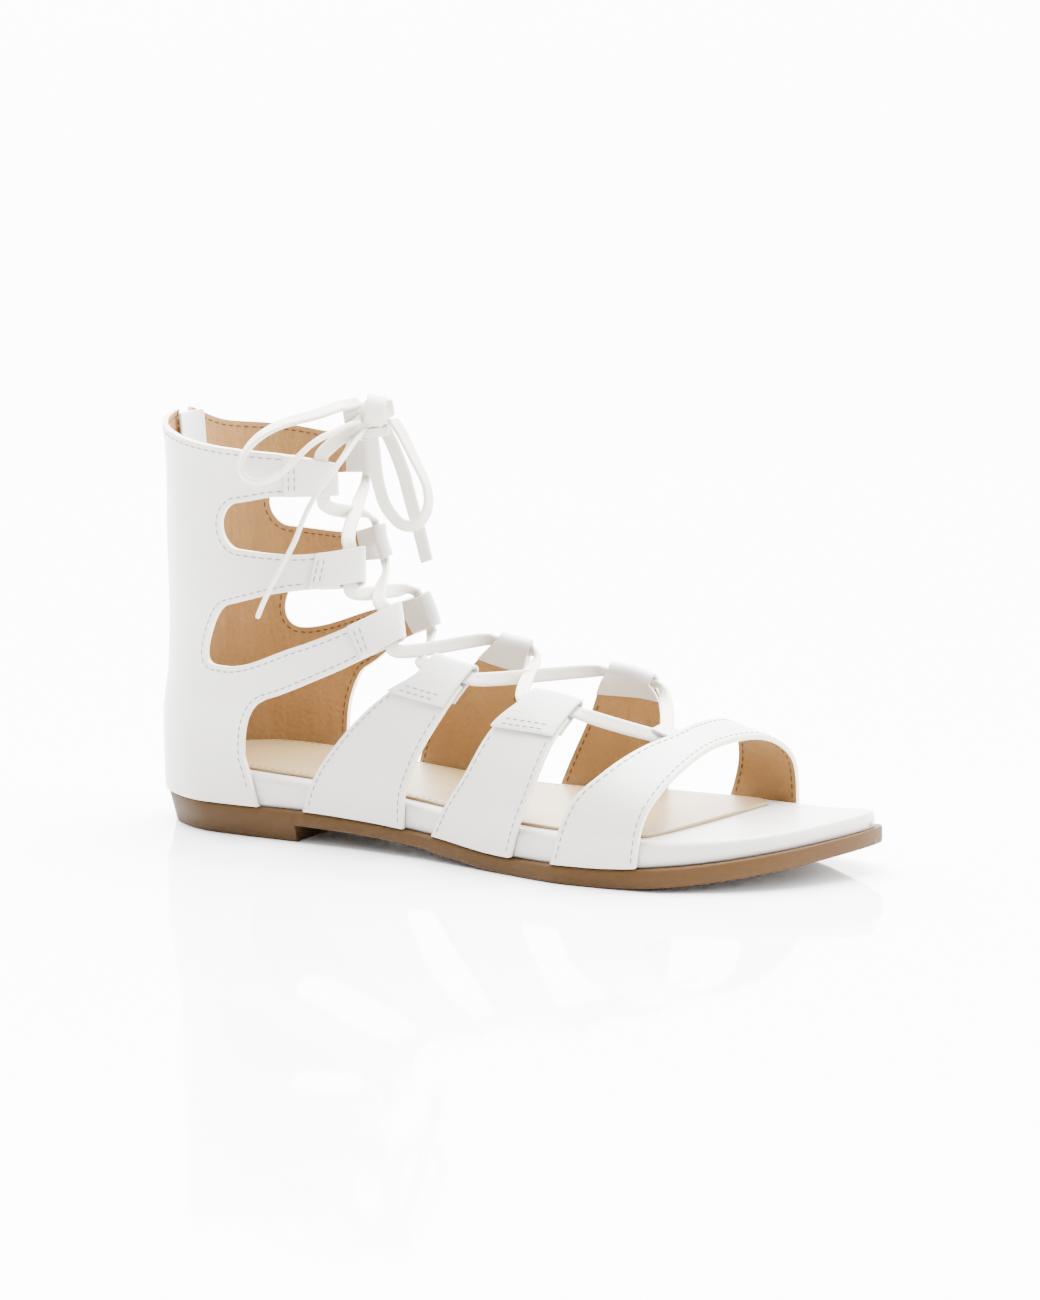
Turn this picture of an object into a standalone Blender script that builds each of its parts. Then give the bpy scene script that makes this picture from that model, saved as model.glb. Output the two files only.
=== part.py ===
"""Gladiator sandal, right shoe, standing empty: sole, footbed, hollow shaft, straps, back zip and lace.

The toe points along +X, the medial side along +Y, and the floor is z = 0. Lengths are in metres. The
formulas measure x from the back of the heel, and the last lines move the frame to the heel's centre.
"""
from math import cos, pi, radians, sin

import bmesh
import bpy
import numpy as np

# Driving sizes of the sole and the last
LENGTH = 0.252
BALL_WIDTH = 0.081
HEEL_RISE = 0.0052
TOE_SPRING = 0.0094
SOLE_EDGE = 0.0055
TREAD_STEP = 0.0007
HEEL_TAPER = 0.0016
HEEL_CENTRE = 0.032
BED_THICKNESS = 0.0105
BED_BACK = 0.0010
BED_INSET = 0.0022
BED_ROUND = 0.0022
SOCK_THICKNESS = 0.0008
SOCK_INSET = 0.0045
SOCK_TIP = 0.211
SOCK_TIP_SIDE = 0.020
SOCK_POINT = 0.030
INSTEP_HEIGHT = 0.067
CROWN_SIDE = 0.006

# Driving sizes of the upper
WALL = 0.0018
TAB_WALL = 0.0010
GAP = 0.0003
WRAP_GAP = 0.00045
SHAFT_HEIGHT = 0.134
ANKLE_HALF_WIDTH = 0.031
SLOT_WIDTH = 0.0070
TUNNEL = 0.0062
TAB_OUTER_LEG = 0.0150
TAB_INNER_LEG = 0.0070

# Driving sizes of the zip and the lace
TAPE_WIDTH = 0.0130
TAPE_THICKNESS = 0.0008
TEETH_WIDTH = 0.0044
TEETH_THICKNESS = 0.0014
TOOTH_PITCH = 0.0030
SLIDER_WIDTH = 0.0062
SLIDER_LENGTH = 0.0098
SLIDER_THICKNESS = 0.0014
BRIDGE_HEIGHT = 0.0034
BRIDGE_BAR = 0.0011
PULL_LENGTH = 0.0165
PULL_WIDTH = 0.0064
PULL_THICKNESS = 0.0012
PULL_HOLE = 0.0019
PULL_RIM = 0.0011
LACE_WIDTH = 0.0044
LACE_THICKNESS = 0.0016
LACE_TUBE = 0.0028
MOUTH_GAP = 0.0011
LOOP_WIDTH = 0.0066
LOOP_OPENING = 0.0028
LOOP_REACH = 0.0068
LOOP_SEWN = 0.0060
LOOP_AT = 0.84
FOLD_RADIUS = 0.0022
KNOT_AT = (0.0802, 0.0, 0.1362)
KNOT_SIZE = (0.0047, 0.0052, 0.0066)
# Bow of the lace: points of each cord's route in millimetres, from the knot outward
ROUTES = {
    "lace_loop_lateral": ((75.0, -5.0, 138.6), (73.8, -10.0, 138.4), (72.5, -16.0, 137.4), (69.1, -23.0, 136.0),
                          (65.1, -29.0, 134.6), (62.1, -33.5, 132.6), (59.0, -36.3, 129.8), (56.0, -37.0, 126.4),
                          (54.1, -37.2, 123.0), (54.0, -37.2, 119.6), (57.2, -37.2, 117.0), (64.0, -37.0, 117.4),
                          (70.5, -36.8, 121.0), (75.2, -35.0, 125.9), (77.9, -30.5, 129.6), (78.8, -23.0, 131.4),
                          (78.4, -14.0, 132.4), (77.6, -7.0, 132.4)),
    "lace_end_lateral": ((78.2, -5.6, 129.6), (79.4, -11.5, 127.4), (80.6, -17.5, 124.6), (81.0, -22.5, 121.8),
                         (80.2, -26.5, 118.4), (78.6, -30.0, 114.6), (77.0, -33.0, 110.0), (75.3, -35.0, 105.0),
                         (73.6, -36.4, 99.6), (71.4, -37.2, 95.0), (68.8, -37.6, 90.6), (65.2, -37.6, 85.0),
                         (61.9, -37.4, 79.8), (58.8, -37.2, 74.1)),
    "lace_loop_medial": ((81.0, -3.0, 127.4), (82.4, -4.0, 121.9), (83.8, -5.0, 115.8), (85.4, -5.5, 111.1),
                         (87.4, -6.0, 107.0), (90.2, -6.0, 103.6), (93.6, -6.0, 101.2), (97.4, -5.6, 101.0),
                         (100.8, -5.0, 103.4), (102.3, -4.0, 108.4), (100.9, -3.0, 113.9), (96.8, -1.6, 120.0),
                         (92.4, 0.0, 125.7), (88.8, 1.4, 130.0), (85.6, 2.2, 133.2)),
    "lace_end_medial": ((81.2, 4.6, 129.4), (82.6, 6.0, 125.2), (84.0, 7.2, 120.4), (85.4, 8.4, 114.8),
                        (86.8, 8.8, 109.0), (88.2, 9.0, 103.8), (89.6, 9.0, 99.4), (91.0, 9.0, 94.6),
                        (92.2, 8.8, 90.4), (93.2, 8.6, 87.4)),
}

# Outline of the outsole from above: shares of the length, and of the ball width
PLAN = {
    "along": (0.0, 0.012, 0.048, 0.119, 0.218, 0.310, 0.437, 0.575, 0.694, 0.794, 0.873, 0.933, 0.976, 1.0),
    "lateral": (0.0, -0.128, -0.253, -0.342, -0.358, -0.362, -0.399, -0.485, -0.551, -0.535, -0.433,
                -0.291, -0.095, 0.163),
    "medial": (0.0, 0.128, 0.240, 0.321, 0.333, 0.315, 0.291, 0.368, 0.449, 0.452, 0.412, 0.348, 0.290, 0.163),
}
# Sole from the side: shares of the length, the heel rise, the toe spring, the edge and the footbed
PROFILE = {
    "along": (0.0, 0.12, 0.24, 0.36, 0.476, 0.595, 0.72, 0.833, 0.933, 1.0),
    "rise": (1.08, 0.92, 0.92, 0.79, 0.48, 0.0, 0.0, 0.0, 0.0, 0.0),
    "spring": (0.0, 0.0, 0.0, 0.0, 0.0, 0.0, 0.0, 0.18, 0.60, 1.0),
    "edge": (1.0, 1.0, 1.0, 0.96, 0.96, 0.98, 1.05, 1.10, 1.03, 0.90),
    "bed": (1.02, 1.05, 0.95, 0.84, 0.81, 0.91, 0.895, 0.72, 0.54, 0.476),
}
HEEL_BREAST = 0.256
TREAD_START = 0.472
# Crown of the last: shares of the length and of the instep height, and how full each side is
CROWN = {
    "along": (0.24, 0.357, 0.417, 0.476, 0.536, 0.595, 0.643, 0.694, 0.754, 0.813, 0.853),
    "height": (1.50, 1.18, 1.075, 1.0, 0.948, 0.91, 0.870, 0.785, 0.662, 0.590, 0.550),
    "lateral": (2.0, 2.0, 2.0, 2.0, 2.0, 2.0, 2.0, 2.0, 2.0, 2.0, 2.0),
    "medial": (2.3, 2.3, 2.3, 2.3, 2.3, 2.3, 2.35, 2.5, 2.8, 3.0, 3.0),
}
# Ankle ovals: shares of the shaft height, the length and the ankle's half width
OVAL = {
    "up": (0.0, 0.18, 0.28, 0.34, 0.45, 0.54, 0.67, 0.88, 1.0),
    "back": (-0.001, 0.0, 0.008, 0.012, 0.016, 0.018, 0.020, 0.025, 0.022),
    "middle": (0.18, 0.18, 0.185, 0.19, 0.19, 0.18, 0.16, 0.151, 0.151),
    "front_lateral": (0.8, 0.8, 0.45, 0.36, 0.286, 0.233, 0.181, 0.163, 0.163),
    "front_medial": (0.8, 0.8, 0.45, 0.34, 0.262, 0.208, 0.153, 0.143, 0.143),
    "half_width": (0.96, 0.97, 1.0, 1.0, 1.0, 1.0, 0.985, 1.0, 1.04),
}
# Lines of the shaft, from its foot to its rim: where each leaves the spine and ends (shares of the
# length), and its height at the zip, mid spine, spine edge, past it, mid finger and tip (shares of the rise)
LINES = ("foot", "slot", "quarter", "window2_low", "window2_top", "window1_low", "window1_top", "rim")
SHAFT = {
    "lateral": {
        "edge": (0.202, 0.183, 0.198, 0.133, 0.147, 0.169, 0.173, 0.173),
        "tip": (0.405, 0.405, 0.405, 0.386, 0.342, 0.326, 0.298, 0.296),
        "zip": (0.0, 0.127, 0.233, 0.364, 0.460, 0.690, 0.790, 1.0),
        "spine": (0.0, 0.127, 0.245, 0.370, 0.465, 0.695, 0.780, 0.974),
        "start": (0.0, 0.127, 0.262, 0.376, 0.478, 0.702, 0.768, 0.943),
        "past": (0.0, 0.127, 0.290, 0.368, 0.531, 0.678, 0.800, 0.940),
        "mid": (0.0, 0.127, 0.360, 0.433, 0.572, 0.668, 0.817, 0.929),
        "end": (0.0, 0.127, 0.474, 0.556, 0.600, 0.686, 0.817, 0.900),
    },
    "medial": {
        "edge": (0.198, 0.194, 0.198, 0.103, 0.107, 0.085, 0.083, 0.083),
        "tip": (0.340, 0.340, 0.340, 0.335, 0.272, 0.270, 0.255, 0.253),
        "zip": (0.0, 0.127, 0.233, 0.364, 0.460, 0.690, 0.790, 1.0),
        "spine": (0.0, 0.127, 0.245, 0.385, 0.470, 0.690, 0.760, 0.955),
        "start": (0.0, 0.127, 0.266, 0.405, 0.486, 0.690, 0.740, 0.945),
        "past": (0.0, 0.127, 0.298, 0.396, 0.535, 0.670, 0.795, 0.943),
        "mid": (0.0, 0.127, 0.376, 0.450, 0.576, 0.661, 0.817, 0.927),
        "end": (0.0, 0.127, 0.441, 0.531, 0.612, 0.702, 0.837, 0.920),
    },
}
COLUMN_AT = (0.0, 0.5, 1.0, 1.12, 1.5, 2.0)
SLOT_FOOT = 0.127
# Straps: share of the way from the sole to the crown, rear and front edges as shares of the length
STRAPS = {
    "strap_instep_lateral": {"up": (0.0, 0.27, 0.50, 0.62, 0.72), "rear": (0.282, 0.325, 0.377, 0.413, 0.425),
                             "front": (0.444, 0.456, 0.480, 0.498, 0.500)},
    "strap_instep_medial": {"up": (0.0, 0.25, 0.50, 0.70, 0.86), "rear": (0.302, 0.329, 0.380, 0.425, 0.462),
                            "front": (0.452, 0.460, 0.472, 0.488, 0.508)},
    "strap_ball_lateral": {"up": (0.0, 0.28, 0.50, 0.62, 0.68), "rear": (0.490, 0.542, 0.577, 0.585, 0.589),
                           "front": (0.621, 0.651, 0.657, 0.655, 0.653)},
    "strap_ball_medial": {"up": (0.0, 0.25, 0.50, 0.70, 0.80), "rear": (0.520, 0.546, 0.578, 0.600, 0.620),
                          "front": (0.663, 0.669, 0.674, 0.677, 0.682)},
    "toe_strap": {"up": (0.0, 0.25, 0.40, 0.60, 0.80, 1.0, 1.30, 1.60, 2.0),
                  "rear": (0.671, 0.698, 0.726, 0.750, 0.766, 0.768, 0.780, 0.780, 0.754),
                  "front": (0.782, 0.796, 0.806, 0.812, 0.815, 0.820, 0.830, 0.845, 0.845)},
}
SIDES = {"lateral": -1.0, "medial": 1.0}

for old in list(bpy.data.objects):
    bpy.data.objects.remove(old, do_unlink=True)
COLLECTION = bpy.data.collections.new("gladiator_sandal")
bpy.context.scene.collection.children.link(COLLECTION)
HELPERS = bpy.data.collections.new("helpers")
bpy.context.scene.collection.children.link(HELPERS)


def smooth(rows, values, at):
    """Monotone cubic through the rows: flat stretches stay flat and nothing overshoots."""
    rows, values, at = np.asarray(rows, float), np.asarray(values, float), np.asarray(at, float)
    step = np.diff(rows)
    slope = np.diff(values) / step
    tangent = np.zeros(len(rows))
    before, after = slope[:-1], slope[1:]
    same = before * after > 0
    weight1, weight2 = 2 * step[1:] + step[:-1], step[1:] + 2 * step[:-1]
    inner = np.zeros(len(before))
    inner[same] = (weight1 + weight2)[same] / (weight1[same] / before[same] + weight2[same] / after[same])
    tangent[1:-1] = inner
    tangent[0], tangent[-1] = slope[0], slope[-1]
    at = np.clip(at, rows[0], rows[-1])
    k = np.clip(np.searchsorted(rows, at) - 1, 0, len(step) - 1)
    t = (at - rows[k]) / step[k]
    ends = values[k] * (1 + 2 * t) * (1 - t) ** 2 + values[k + 1] * t * t * (3 - 2 * t)
    return ends + step[k] * t * (1 - t) * (tangent[k] * (1 - t) - tangent[k + 1] * t)


def turn_of(share):
    """Angle of a half circle whose projection is this share of the length: it rounds both ends."""
    return np.arccos(np.clip(1 - 2 * np.asarray(share, float), -1, 1))


def sole_edge(side, x):
    return BALL_WIDTH * smooth(turn_of(PLAN["along"]), PLAN[side], turn_of(np.asarray(x) / LENGTH))


def profile(column, x):
    return smooth(PROFILE["along"], PROFILE[column], np.asarray(x, float) / LENGTH)


def sheet_under(x):
    """Underside of the sole's sheet: lifted at the heel, flat at the ball, sprung at the toe."""
    return HEEL_RISE * profile("rise", x) + TOE_SPRING * profile("spring", x)


def sole_top(x):
    return sheet_under(x) + SOLE_EDGE * profile("edge", x)


def bed_top(x):
    return sole_top(x) + BED_THICKNESS * profile("bed", x)


def bed_front():
    return LENGTH - BED_INSET


def bed_edge(side, x):
    """Edge of the footbed: the sole's outline, drawn in by the inset away from its ends."""
    share = np.clip((np.asarray(x, float) - BED_BACK) / (bed_front() - BED_BACK), 0, 1)
    inset = BED_INSET * np.clip(0.35 + 2.2 * share, 0, 1) * np.sqrt(np.sin(turn_of(share)))
    return sole_edge(side, share * LENGTH) - SIDES[side] * inset


def foot_path(side, outward):
    """Footbed's edge moved outward: the line that the upper's wall stands on."""
    x = BED_BACK + (bed_front() - BED_BACK) * (1 - np.cos(np.linspace(0, pi, 260))) / 2
    y = bed_edge(side, x)
    dx, dy = np.gradient(x), np.gradient(y)
    size = np.hypot(dx, dy)
    return x - SIDES[side] * dy / size * outward, y + SIDES[side] * dx / size * outward


FOOT = {side: foot_path(side, WRAP_GAP + WALL / 2) for side in SIDES}


def crown_height(x):
    return INSTEP_HEIGHT * smooth(CROWN["along"], CROWN["height"], np.asarray(x, float) / LENGTH)


def last_point(side, x, up):
    """Point on the last's section at x: up is the share of the girth from the sole to the crown."""
    turn = np.linspace(0, pi / 2 - 1e-6, 60)
    points = []
    for px, share in zip(np.ravel(x), np.ravel(up)):
        wing = side if share <= 1 else "medial"
        along = share if share <= 1 else 2 - share
        edge = np.interp(px, *FOOT[wing])
        foot, shoulder = sole_top(px) + GAP, bed_top(px)
        power = 2 / float(smooth(CROWN["along"], CROWN[wing], px / LENGTH))
        y = np.concatenate([[edge], CROWN_SIDE + (edge - CROWN_SIDE) * np.cos(turn) ** power])
        z = np.concatenate([[foot], shoulder + (crown_height(px) - shoulder) * np.sin(turn) ** power])
        girth = np.concatenate([[0], np.cumsum(np.hypot(np.diff(y), np.diff(z)))])
        at = along * girth[-1]
        points.append((px, np.interp(at, girth, y), np.interp(at, girth, z)))
    return np.array(points).reshape(np.shape(x) + (3,))


def strap_point(name, up, across):
    """Point on a strap's middle surface: across runs from its rear edge to its front edge."""
    table = STRAPS[name]
    up, across = np.broadcast_arrays(np.asarray(up, float), np.asarray(across, float))
    rear = LENGTH * smooth(table["up"], table["rear"], up)
    front = LENGTH * smooth(table["up"], table["front"], up)
    side = "medial" if name.endswith("medial") else "lateral"
    return last_point(side, rear + (front - rear) * across, up)


LEVELS = np.linspace(0, 1, 41)


def shaft_height_at(x, share):
    foot = sole_top(x) + GAP
    return foot + share * (SHAFT_HEIGHT - sole_top(0.0) - GAP)


def oval_sections(side):
    """Outlines of the shaft at each level, from the back's middle, with their running length."""
    turn = np.linspace(0, pi, 121)
    base = np.array(FOOT[side])
    base_run = np.concatenate([[0], np.cumsum(np.hypot(*np.diff(base, axis=1)))])
    sections = []
    for level in LEVELS:
        back, middle = (LENGTH * smooth(OVAL["up"], OVAL[key], level) for key in ("back", "middle"))
        front = LENGTH * smooth(OVAL["up"], OVAL["front_" + side], level)
        half = ANKLE_HALF_WIDTH * smooth(OVAL["up"], OVAL["half_width"], level)
        x = middle - np.cos(turn) * np.where(turn < pi / 2, middle - back, front)
        y = SIDES[side] * half * np.sin(turn)
        run = np.concatenate([[0], np.cumsum(np.hypot(np.diff(x), np.diff(y)))])
        even = np.linspace(0, 0.150, 151)
        free = np.array([np.interp(even, run, x), np.interp(even, run, y)])
        fixed = np.array([np.interp(even, base_run, base[0]), np.interp(even, base_run, base[1])])
        blend = np.clip((level - 0.06) / 0.24, 0, 1)
        blend = blend * blend * (3 - 2 * blend)
        sections.append(fixed + (free - fixed) * blend)
    return np.array(sections)


SECTIONS = {side: oval_sections(side) for side in SIDES}
RUN = np.linspace(0, 0.150, 151)


def shaft_surface(side, run, level):
    """Point of the shaft's middle surface at a running length round the level from the back."""
    run, level = np.broadcast_arrays(np.asarray(run, float), np.asarray(level, float))
    points = []
    for s, share in zip(run.ravel(), level.ravel()):
        place = np.clip(share, 0, 1) * (len(LEVELS) - 1)
        low = min(int(place), len(LEVELS) - 2)
        part = place - low
        xy = [(1 - part) * np.interp(s, RUN, SECTIONS[side][low][i])
              + part * np.interp(s, RUN, SECTIONS[side][low + 1][i]) for i in (0, 1)]
        points.append((xy[0], xy[1], shaft_height_at(xy[0], share)))
    return np.array(points).reshape(run.shape + (3,))


def run_to(side, x, level):
    """Running length at which the shaft's outline reaches x."""
    low = int(np.clip(level, 0, 1) * (len(LEVELS) - 1))
    outline = SECTIONS[side][low][0]
    last = int(np.argmax(outline))
    return float(np.interp(x, outline[:last + 1], RUN[:last + 1]))


def shaft_place(side, column, line):
    """Running length and level of a place on the shaft's grid of columns and lines."""
    table = SHAFT[side]
    heights = np.array([[table[key][i] for key in ("zip", "spine", "start", "past", "mid", "end")]
                        for i in range(len(LINES))])
    edges = [run_to(side, LENGTH * table["edge"][i], heights[i][2]) for i in range(len(LINES))]
    tips = [run_to(side, LENGTH * table["tip"][i], heights[i][5]) for i in range(len(LINES))]
    column, line = np.broadcast_arrays(np.asarray(column, float), np.asarray(line, float))
    runs, levels = np.empty(column.shape), np.empty(column.shape)
    number = np.arange(len(LINES))
    for index in np.ndindex(column.shape):
        c, row = column[index], line[index]
        edge, tip = np.interp(row, number, edges), np.interp(row, number, tips)
        start = SLOT_WIDTH / 2
        runs[index] = start + (edge - start) * c if c <= 1 else edge + (tip - edge) * (c - 1)
        at_lines = [float(smooth(COLUMN_AT, heights[i], c)) for i in number]
        levels[index] = np.interp(row, number, at_lines)
    return runs, levels


def shaft_point(side, column, line):
    return shaft_surface(side, *shaft_place(side, column, line))


def material(name, colour, roughness, metallic=0.0):
    made = bpy.data.materials.new(name)
    made.use_nodes = True
    shader = made.node_tree.nodes["Principled BSDF"]
    shader.inputs["Base Color"].default_value = (*colour, 1)
    shader.inputs["Roughness"].default_value = roughness
    shader.inputs["Metallic"].default_value = metallic
    return made


WHITE = material("white_leather", (0.86, 0.86, 0.85), 0.45)
RUBBER = material("caramel_rubber", (0.42, 0.20, 0.08), 0.55)
SATIN = material("champagne_sock", (0.62, 0.49, 0.31), 0.40)
CORD = material("white_lace", (0.88, 0.87, 0.84), 0.75)
TAPE = material("white_tape", (0.84, 0.84, 0.83), 0.8)
METAL = material("silver_zip", (0.78, 0.78, 0.77), 0.28, 1.0)


def place_object(name, mesh, look, collection=COLLECTION):
    made = bpy.data.objects.new(name, mesh)
    mesh.materials.append(look)
    collection.objects.link(made)
    return made


def mesh_of(name, vertices, faces):
    mesh = bpy.data.meshes.new(name)
    mesh.from_pydata([tuple(v) for v in np.asarray(vertices, float)], [], [tuple(f) for f in faces])
    work = bmesh.new()
    work.from_mesh(mesh)
    bmesh.ops.recalc_face_normals(work, faces=work.faces)
    work.to_mesh(mesh)
    work.free()
    return mesh


def loft(name, rings, look):
    """Closed solid through rings of equal counts, with a flat face at each end."""
    rings = np.asarray(rings)
    count, around = rings.shape[:2]
    faces = [tuple(range(around)), tuple(range((count - 1) * around, count * around))]
    for i in range(count - 1):
        for j in range(around):
            k = (j + 1) % around
            faces.append((i * around + j, i * around + k, (i + 1) * around + k, (i + 1) * around + j))
    return place_object(name, mesh_of(name, rings.reshape(-1, 3), faces), look)


def sheet(name, grid, look, thickness, keep=None):
    """Wall of even thickness on a grid of points on its middle surface; keep masks the cells."""
    rows, columns = grid.shape[:2]
    used, faces = {}, []
    for i in range(rows - 1):
        for j in range(columns - 1):
            if keep is None or keep[i, j]:
                corners = ((i, j), (i, j + 1), (i + 1, j + 1), (i + 1, j))
                faces.append([used.setdefault(corner, len(used)) for corner in corners])
    made = place_object(name, mesh_of(name, [grid[corner] for corner in used], faces), look)
    wall = made.modifiers.new("wall", "SOLIDIFY")
    wall.thickness = thickness
    wall.offset = 0
    wall.use_even_offset = True
    return made


def unit(vectors):
    return vectors / np.linalg.norm(vectors, axis=-1, keepdims=True)


def end_rings(first, last, count):
    """Stations crowded towards both ends, where the outline turns."""
    return first + (last - first) * (1 - np.cos(np.linspace(0.09, pi - 0.09, count))) / 2


def outsole():
    """Rubber sheet with its heel block: a ring of eight points at each station."""
    breast, tread = HEEL_BREAST * LENGTH, TREAD_START * LENGTH
    stations = sorted([*end_rings(0, LENGTH, 36), breast, breast + 0.0006, tread, tread + 0.0004])
    rings = []
    for x in stations:
        lateral, medial = sole_edge("lateral", x), sole_edge("medial", x)
        middle, under, top = (lateral + medial) / 2, float(sheet_under(x)), float(sole_top(x))
        heel = x <= breast
        low = 0.0 if heel else under + (TREAD_STEP if x <= tread else 0.0) * min(1, under / TREAD_STEP)
        shrink = HEEL_TAPER if heel else 0.0
        draw = (1 - x / breast) * shrink if heel else 0.0
        half = (medial - lateral) / 2
        round_low = min(0.0008, half / 4)
        ring = []
        for width, z, back in ((half - shrink - round_low, low, draw + 0.0004), (half - shrink, low + 0.0008, draw),
                               (half, top - 0.0006, 0.0), (half - round_low / 2, top, 0.0)):
            width = max(width, half * 0.4)
            ring.append((x + back, middle - width, z))
            ring.append((x + back, middle + width, z))
        rings.append([ring[i] for i in (0, 2, 4, 6, 7, 5, 3, 1)])
    return loft("outsole", rings, RUBBER)


def footbed():
    """Wrapped board: rounded over its top edges and a little dished."""
    rings = []
    for x in end_rings(BED_BACK, bed_front(), 36):
        lateral, medial = bed_edge("lateral", x), bed_edge("medial", x)
        low, top = sole_top(x) + GAP, bed_top(x)
        round_off = min(BED_ROUND, (medial - lateral) / 4)
        side = [(lateral, low), (lateral, top - round_off), (lateral + 0.3 * round_off, top - 0.3 * round_off),
                (lateral + round_off, top)]
        other = [(medial + lateral - y, z) for y, z in reversed(side)]
        rings.append([(x, y, z) for y, z in side + other])
    return loft("footbed", rings, WHITE)


def sock_lining():
    """Satin sheet on the footbed, pointed at the front."""
    start = BED_BACK + SOCK_INSET
    rings = []
    for x in start + (SOCK_TIP - start) * (1 - np.cos(np.linspace(0.12, pi - 0.08, 26))) / 2:
        share = np.clip((SOCK_TIP - x) / SOCK_POINT, 0, 1)
        lateral, medial = bed_edge("lateral", x) + SOCK_INSET, bed_edge("medial", x) - SOCK_INSET
        round_end = np.sqrt(np.clip((x - start) / (0.08 * LENGTH), 0, 1))
        middle = SOCK_TIP_SIDE * (1 - share) + (lateral + medial) / 2 * share
        half = (medial - lateral) / 2 * share * (0.25 + 0.75 * round_end)
        low = bed_top(x) + GAP
        rings.append([(x, middle - half, low), (x, middle - half, low + SOCK_THICKNESS),
                      (x, middle + half, low + SOCK_THICKNESS), (x, middle + half, low)])
    return loft("sock_lining", rings, SATIN)


SPINE_COLUMNS = np.linspace(0, 1, 11)
FINGER_COLUMNS = np.array([1.03, 1.08, 1.15, 1.25, 1.36, 1.47, 1.58, 1.67, 1.76, 1.85])
LINE_STEPS = (2, 3, 3, 3, 3, 3, 3)


def tip_column(side, line, share=1.0):
    """Column where the wall of a finger ends, short of its tab's fold by the lace's tunnel."""
    runs, _ = shaft_place(side, np.array([1.0, 2.0]), np.array([line, line]))
    return 2.0 - share * (TUNNEL + WALL) / (runs[1] - runs[0])


def shaft():
    """Heel counter, quarters and three fingers a side as one wall, open at the zip and the windows."""
    lines = np.concatenate([[0]] + [i + np.arange(1, n + 1) / n for i, n in enumerate(LINE_STEPS)])
    halves = {}
    for side in SIDES:
        ends = np.array([tip_column(side, line) for line in lines])
        columns = [np.full(len(lines), c) for c in SPINE_COLUMNS]
        columns += [1 + (ends - 1) * (c - 1) / 0.85 for c in FINGER_COLUMNS]
        columns = np.array(columns).T
        halves[side] = shaft_point(side, columns, np.repeat(lines[:, None], columns.shape[1], axis=1))
    grid = np.concatenate([halves["lateral"][:, ::-1], halves["medial"]], axis=1)
    rows, count = grid.shape[:2]
    half = count // 2
    keep = np.zeros((rows - 1, count - 1), bool)
    for i in range(rows - 1):
        place = (lines[i] + lines[i + 1]) / 2
        finger = (2 <= place < 3) or (4 <= place < 5) or place > 6
        for j in range(count - 1):
            if j == half - 1:
                keep[i, j] = place < 1
            else:
                far = half - 2 - j if j < half else j - half
                keep[i, j] = far < len(SPINE_COLUMNS) - 1 or finger
    return sheet("shaft", grid, WHITE, WALL, keep)


def strap(name, until):
    """Strap's wall from the sole to its free end, or to the sole on the other side."""
    steps = 24 if until > 1 else 13
    up = np.linspace(0, until, steps)[:, None]
    across = np.linspace(0, 1, 4)[None, :]
    return sheet(name, strap_point(name, *np.broadcast_arrays(up, across)), WHITE, WALL)


def tab(name, surface, fold_at, metre):
    """Leather tab folded round a strap's end, open as a tunnel that the lace runs through.

    surface(share, across) is the strap's middle surface and metre the share in one metre of it.
    """
    lift = WALL / 2 + WRAP_GAP + TAB_WALL / 2
    across = np.linspace(0, 1, 4)
    legs = [(fold_at - TAB_OUTER_LEG * metre * k, lift, 0.0) for k in (1.0, 0.8, 0.6, 0.4, 0.2, 0.0)]
    legs += [(fold_at, lift * cos(a), lift * sin(a)) for a in np.linspace(0, pi, 7)[1:-1]]
    legs += [(fold_at - TAB_INNER_LEG * metre * k, -lift, 0.0) for k in (0.0, 0.35, 0.7, 1.0)]
    delta = 0.0004 * metre
    rows = []
    for share, height, beyond in legs:
        here = surface(np.full(4, share), across)
        along = unit(surface(np.full(4, share + delta), across) - surface(np.full(4, share - delta), across))
        sideways = unit(np.gradient(here, axis=0))
        normal = unit(np.cross(along, sideways))
        centre = here.mean(axis=0) - np.array([LENGTH * 0.4, CROWN_SIDE, here[:, 2].mean() * 0.5])
        if np.sum(normal.mean(axis=0) * (0, centre[1], max(centre[2], 0))) < 0:
            normal = -normal
        rows.append(here + normal * height + along * beyond)
    return sheet(name, np.array(rows), WHITE, TAB_WALL)


def fold_frame(surface, share, across, metre):
    """Place on a surface with its directions: along it, across it and out of it."""
    delta = 0.0004 * metre
    here, after, before, right, left = surface(np.array([share, share + delta, share - delta, share, share]),
                                               np.array([across, across, across, across + 0.04, across - 0.04]))
    along, sideways = unit(after - before), unit(right - left)
    normal = unit(np.cross(along, sideways))
    outward = here - np.array([here[0], CROWN_SIDE, bed_top(here[0])])
    if normal @ outward < 0:
        normal = -normal
    return here, along, sideways, normal


def toe_loop():
    """Small loop sewn under the toe strap's rear edge, which the lace starts from."""
    at, rear, strapwise, out = fold_frame(lambda share, across: strap_point("toe_strap", across, share),
                                          0.0, LOOP_AT, 1 / (0.05 * LENGTH))
    rear = -rear
    drop = WALL / 2 + GAP + TAB_WALL / 2
    radius = LOOP_OPENING / 2 + TAB_WALL / 2
    path = [(-LOOP_SEWN, -drop), (0.0, -drop)]
    path += [(LOOP_REACH + radius * sin(a), -drop - radius + radius * cos(a)) for a in np.linspace(0, pi, 8)]
    path += [(0.0, -drop - 2 * radius), (-LOOP_SEWN, -drop - 2 * radius)]
    rows = [[at + rear * back + out * up + strapwise * w for w in np.linspace(-0.5, 0.5, 3) * LOOP_WIDTH]
            for back, up in path]
    sheet("toe_loop", np.array(rows), WHITE, TAB_WALL)
    centre = at + rear * (LOOP_REACH + LOOP_OPENING / 2 - LACE_WIDTH / 2 - 3 * GAP) - out * (drop + radius)
    return centre, strapwise, out


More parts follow.
